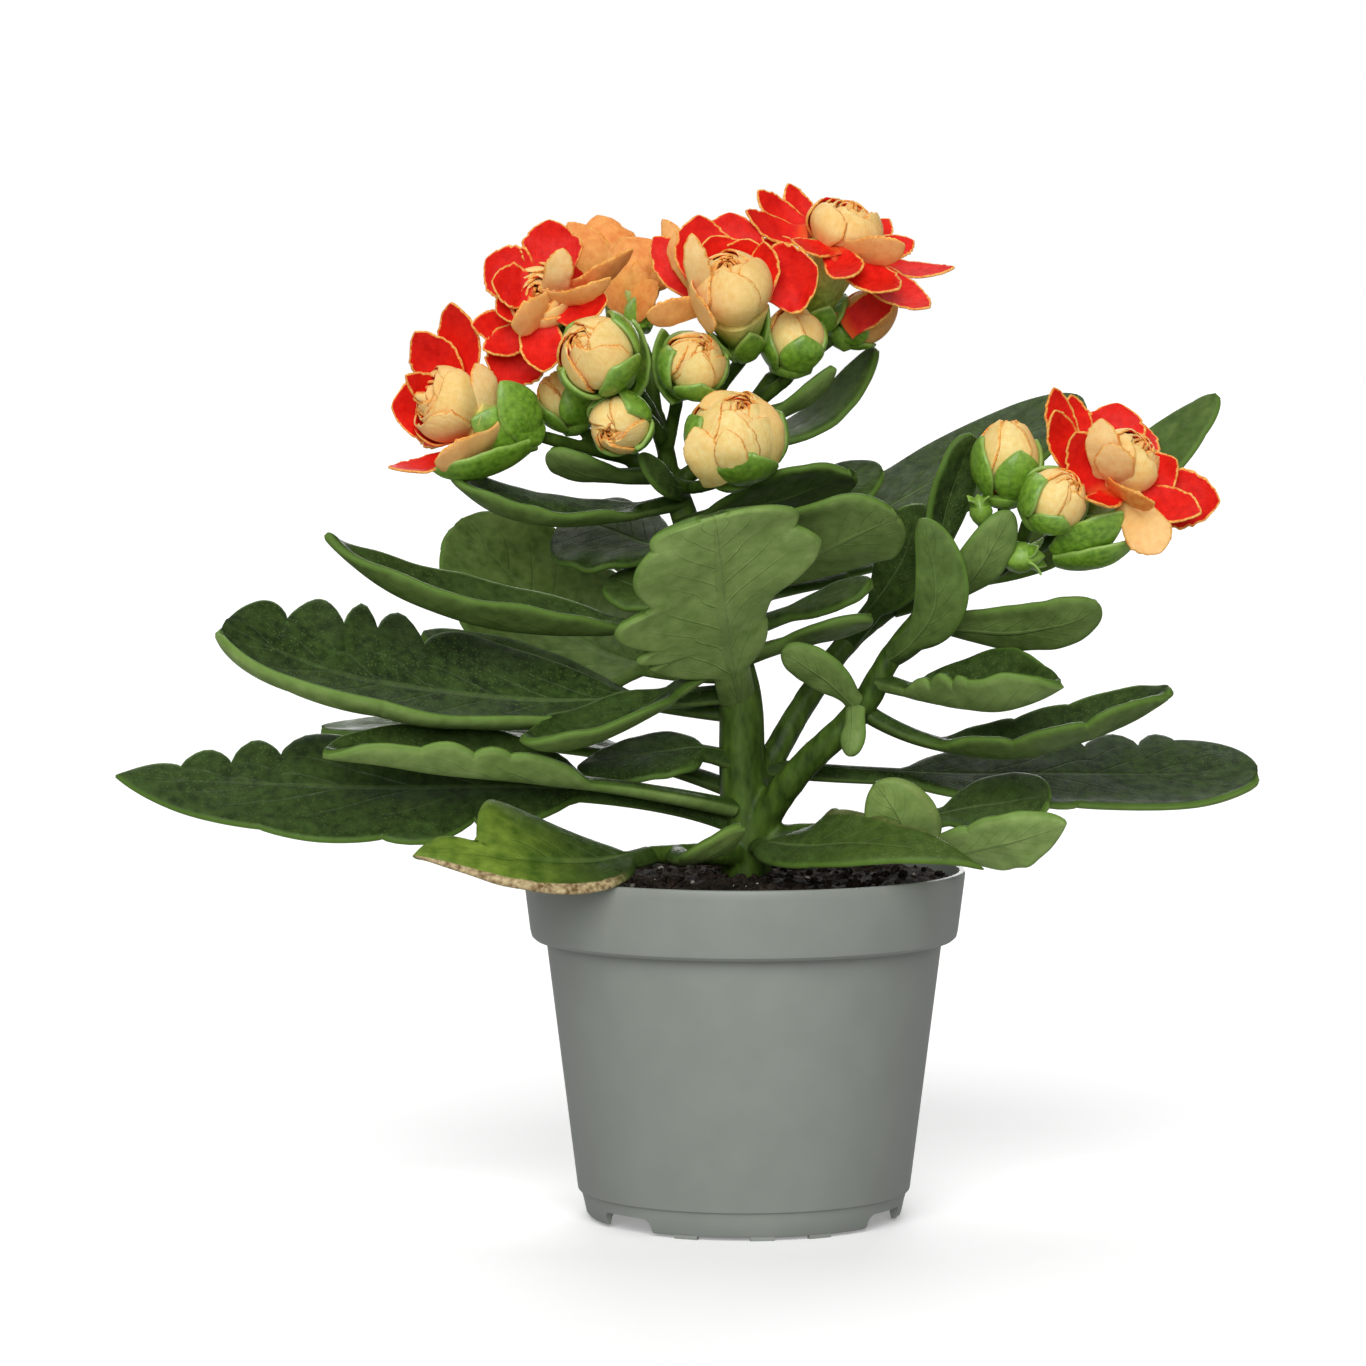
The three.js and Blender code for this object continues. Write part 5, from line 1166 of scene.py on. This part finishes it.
def petal_material(name, rim_width, cream, orange):
    """Petal skin: red inside; outside cream to orange by the petal's own tone, greener at the root."""
    global tree
    material, tree, shader, spot = start_material(name, Specular_IOR_Level=0.2, Subsurface_Weight=0.12,
                                                  Subsurface_Scale=0.0015)
    across, along, side = marks_of(tree, "across_along_side")
    warmth, greenness, _ = marks_of(tree, "tone")
    red = mottled(tree, spot, (206, 14, 6), (238, 34, 18), 260.0, 1.3)
    red = blend(ramp(along, 0.25, 0.0, 0.0, 0.6), red, paint(230, 110, 40))
    back = blend(warmth, mottled(tree, spot, *cream, 300.0, 1.2), mottled(tree, spot, *orange, 240.0, 1.5))
    back = blend(maths("MULTIPLY", greenness, ramp(along, 0.75, 0.1)), back, paint(198, 204, 104))
    stretched = add_node(tree, "CombineXYZ", {0: maths("MULTIPLY", across, 9.0), 1: along})
    streaks = add_node(tree, "TexNoise", {"Vector": stretched.outputs[0], "Scale": 1.6, "Detail": 2.0}).outputs["Fac"]
    back = blend(ramp(streaks, 0.56, 0.74, 0.0, 0.35), back, paint(236, 156, 84))
    colour = blend(ramp(side, -0.3, 0.3), back, red)
    uneven = add_node(tree, "TexNoise", {"Vector": spot, "Scale": 1500.0, "Detail": 3.0}).outputs["Fac"]
    rim_reach = maths("MULTIPLY_ADD", uneven, -rim_width * 1.6, edge_of(tree))
    rim = maths("MULTIPLY", ramp(rim_reach, 0.12, -0.12), ramp(along, 0.2, 0.4))
    golden = mottled(tree, spot, (226, 120, 34), (255, 206, 112), 900.0, 1.6)
    veins = add_node(tree, "Bump", {"Strength": 0.35, "Distance": 0.0002, "Height": streaks,
                                    "Normal": pored(tree, spot, 2600.0, 0.3, 0.0001)})
    feed(tree, shader, Base_Color=blend(rim, colour, golden), Roughness=ramp(uneven, 0.3, 0.7, 0.48, 0.62),
         Normal=veins.outputs["Normal"])
    return material


petal_skin = petal_material("red petal skin", 0.34, ((248, 196, 122), (255, 222, 156)),
                            ((224, 118, 40), (248, 168, 86)))

for name, bloom in BLOOMS.items():
    petals = []
    for root, tip, half, face, orange in bloom["petals"]:
        petal = placed_petal(f"petal_{name}_{len(petals)}", root, tip, half, face, PETAL_THICKNESS)
        petals.append(toned(petal, (orange, 0.15, 1)))
    finish_piece(as_one(f"open_petals_{name}", petals), "petal_red", petal_skin, f"bloom_{name}_petals")

# Hearts and buds: petals still wrapped over one another in a ball, peach and cream outside. An open
# flower's heart shows red in its mouth, and a bud is closed but for a frilled slit at its top.
heart_skin = petal_material("cream petal skin", 0.3, ((244, 204, 116), (255, 230, 160)),
                            ((238, 156, 80), (252, 188, 118)))


def wrapped_flower(name, radius, length, layers, tone):
    """A ball of wrapped petals in layers of (count, radius share, low, high, spread, step)."""
    chance = random.Random(name)
    petals = []
    for count, share, low, high, spread, step in layers:
        start = chance.uniform(0, 360)
        for i in range(count):
            petal = wrapped_petal(f"{name}_{len(petals)}", radius * share, length * (0.92 + 0.08 * share),
                                  start + 360 / count * i + chance.uniform(-7, 7), spread, low,
                                  high * chance.uniform(0.95, 1.03), step, twist=chance.uniform(8, 24), fringe=0.08)
            petals.append(toned(petal, (tone[0] + chance.uniform(-0.15, 0.15), tone[1], 1)))
    return petals


for name, bloom in BLOOMS.items():
    radius, length = bloom["heart"]
    mouth = bloom.get("mouth", 0.84)
    layers = [(5, 1.0, 0.0, mouth, 58, 0.45), (5, 0.86, 0.05, mouth + 0.02, 56, 0.35),
              (5, 0.68, 0.1, mouth + 0.04, 58, 0.25), (4, 0.46, 0.15, mouth * 0.5 + 0.47, 62, 0.18),
              (3, 0.24, 0.2, 0.97, 66, 0.1)]
    petals = wrapped_flower("heart_" + name, radius, length, layers, (0.25, 0.25))
    for petal in petals:
        petal.data.transform(Matrix.Translation((0, 0, (bloom["tube"] + 1.2) * MM)))
        in_place(petal, bloom)
    finish_piece(as_one(f"heart_{name}", petals), "petal_cream", heart_skin, f"bloom_{name}_heart")
for name, bud in BUDS.items():
    layers = [(5, 1.0, 0.0, 0.93, 58, 0.4), (5, 0.88, 0.05, 0.95, 58, 0.3), (4, 0.7, 0.1, 0.96, 66, 0.2),
              (4, 0.5, 0.2, 0.97, 70, 0.1), (3, 0.26, 0.3, 0.985, 80, 0.05)]
    tone = (0.9, 0.1) if bud.get("red") else (0.15, 0.7)
    petals = wrapped_flower("bud_" + name, bud["radius"], bud["length"], layers, tone)
    for petal in petals:
        petal.data.transform(Matrix.Translation((0, 0, BUD_SEAT * MM)))
        in_place(petal, bud)
    for i, (root, tip, half, face, orange) in enumerate(bud.get("petals", ())):
        petal = placed_petal(f"loose_petal_{name}_{i}", root, tip, half, face, PETAL_THICKNESS, cup=50, sag=0.22)
        petals.append(toned(petal, (orange, 0.3, 1)))
    slot = "petal_red" if bud.get("red") else "petal_cream"
    finish_piece(as_one("wrapped_bud_" + name, petals), slot, heart_skin, "bud_" + name)

# Studio: a pale floor that runs out of sight, under broad soft light from the front, a little to the
# left, and weaker ones overhead and behind, with the camera at the photograph's place.
FOCAL_PIXELS = 5175
PHOTO_PIXELS = 1366
SENSOR_WIDTH = 36
CAMERA_PITCH = 3.62
bpy.ops.object.select_all(action="DESELECT")
bpy.ops.mesh.primitive_plane_add(size=40, location=(0, 0, 0))
floor = bpy.context.object
floor.name = "floor"
floor_white, tree, shader, _ = start_material("matt white floor", Roughness=0.9, Specular_IOR_Level=0.1,
                                              Emission_Color=(1, 1, 1, 1), Emission_Strength=0.24)
seen = add_node(tree, "LightPath").outputs["Is Camera Ray"]
feed(tree, shader, Base_Color=blend(seen, paint(130, 130, 130), paint(250, 250, 250)))
floor.data.materials.append(floor_white)

for name, place, spread, strength in (
    ("front sun", (-0.1, -1, 0.6), 50, 2.7),
    ("overhead sun", (-0.15, 0.5, 1), 50, 1.0),
    ("back sun", (0.1, 1, 0.3), 30, 0.9),
):
    light = bpy.data.objects.new(name, bpy.data.lights.new(name, "SUN"))
    light.data.angle = math.radians(spread)
    light.data.energy = strength
    light.rotation_euler = Vector(place).to_track_quat("Z", "Y").to_euler()
    bpy.context.collection.objects.link(light)

world = bpy.data.worlds.new("white room")
world.use_nodes = True
bpy.context.scene.world = world
seen = add_node(world.node_tree, "LightPath").outputs["Is Camera Ray"]
room = add_node(world.node_tree, "Math", {0: seen, 1: 0.86, 2: 0.14}, operation="MULTIPLY_ADD")
background = world.node_tree.nodes["Background"]
background.inputs["Color"].default_value = (1, 1, 1, 1)
world.node_tree.links.new(room.outputs[0], background.inputs["Strength"])
bpy.context.scene.view_settings.view_transform = "Standard"

camera = bpy.data.objects.new("camera", bpy.data.cameras.new("camera"))
camera.data.lens = FOCAL_PIXELS / PHOTO_PIXELS * SENSOR_WIDTH
camera.data.sensor_width = SENSOR_WIDTH
camera.data.clip_start = 0.05
camera.location = (-0.0083, -0.7, 0.117)
camera.rotation_euler = (math.radians(90 - CAMERA_PITCH), 0, 0)
bpy.context.collection.objects.link(camera)
bpy.context.scene.camera = camera
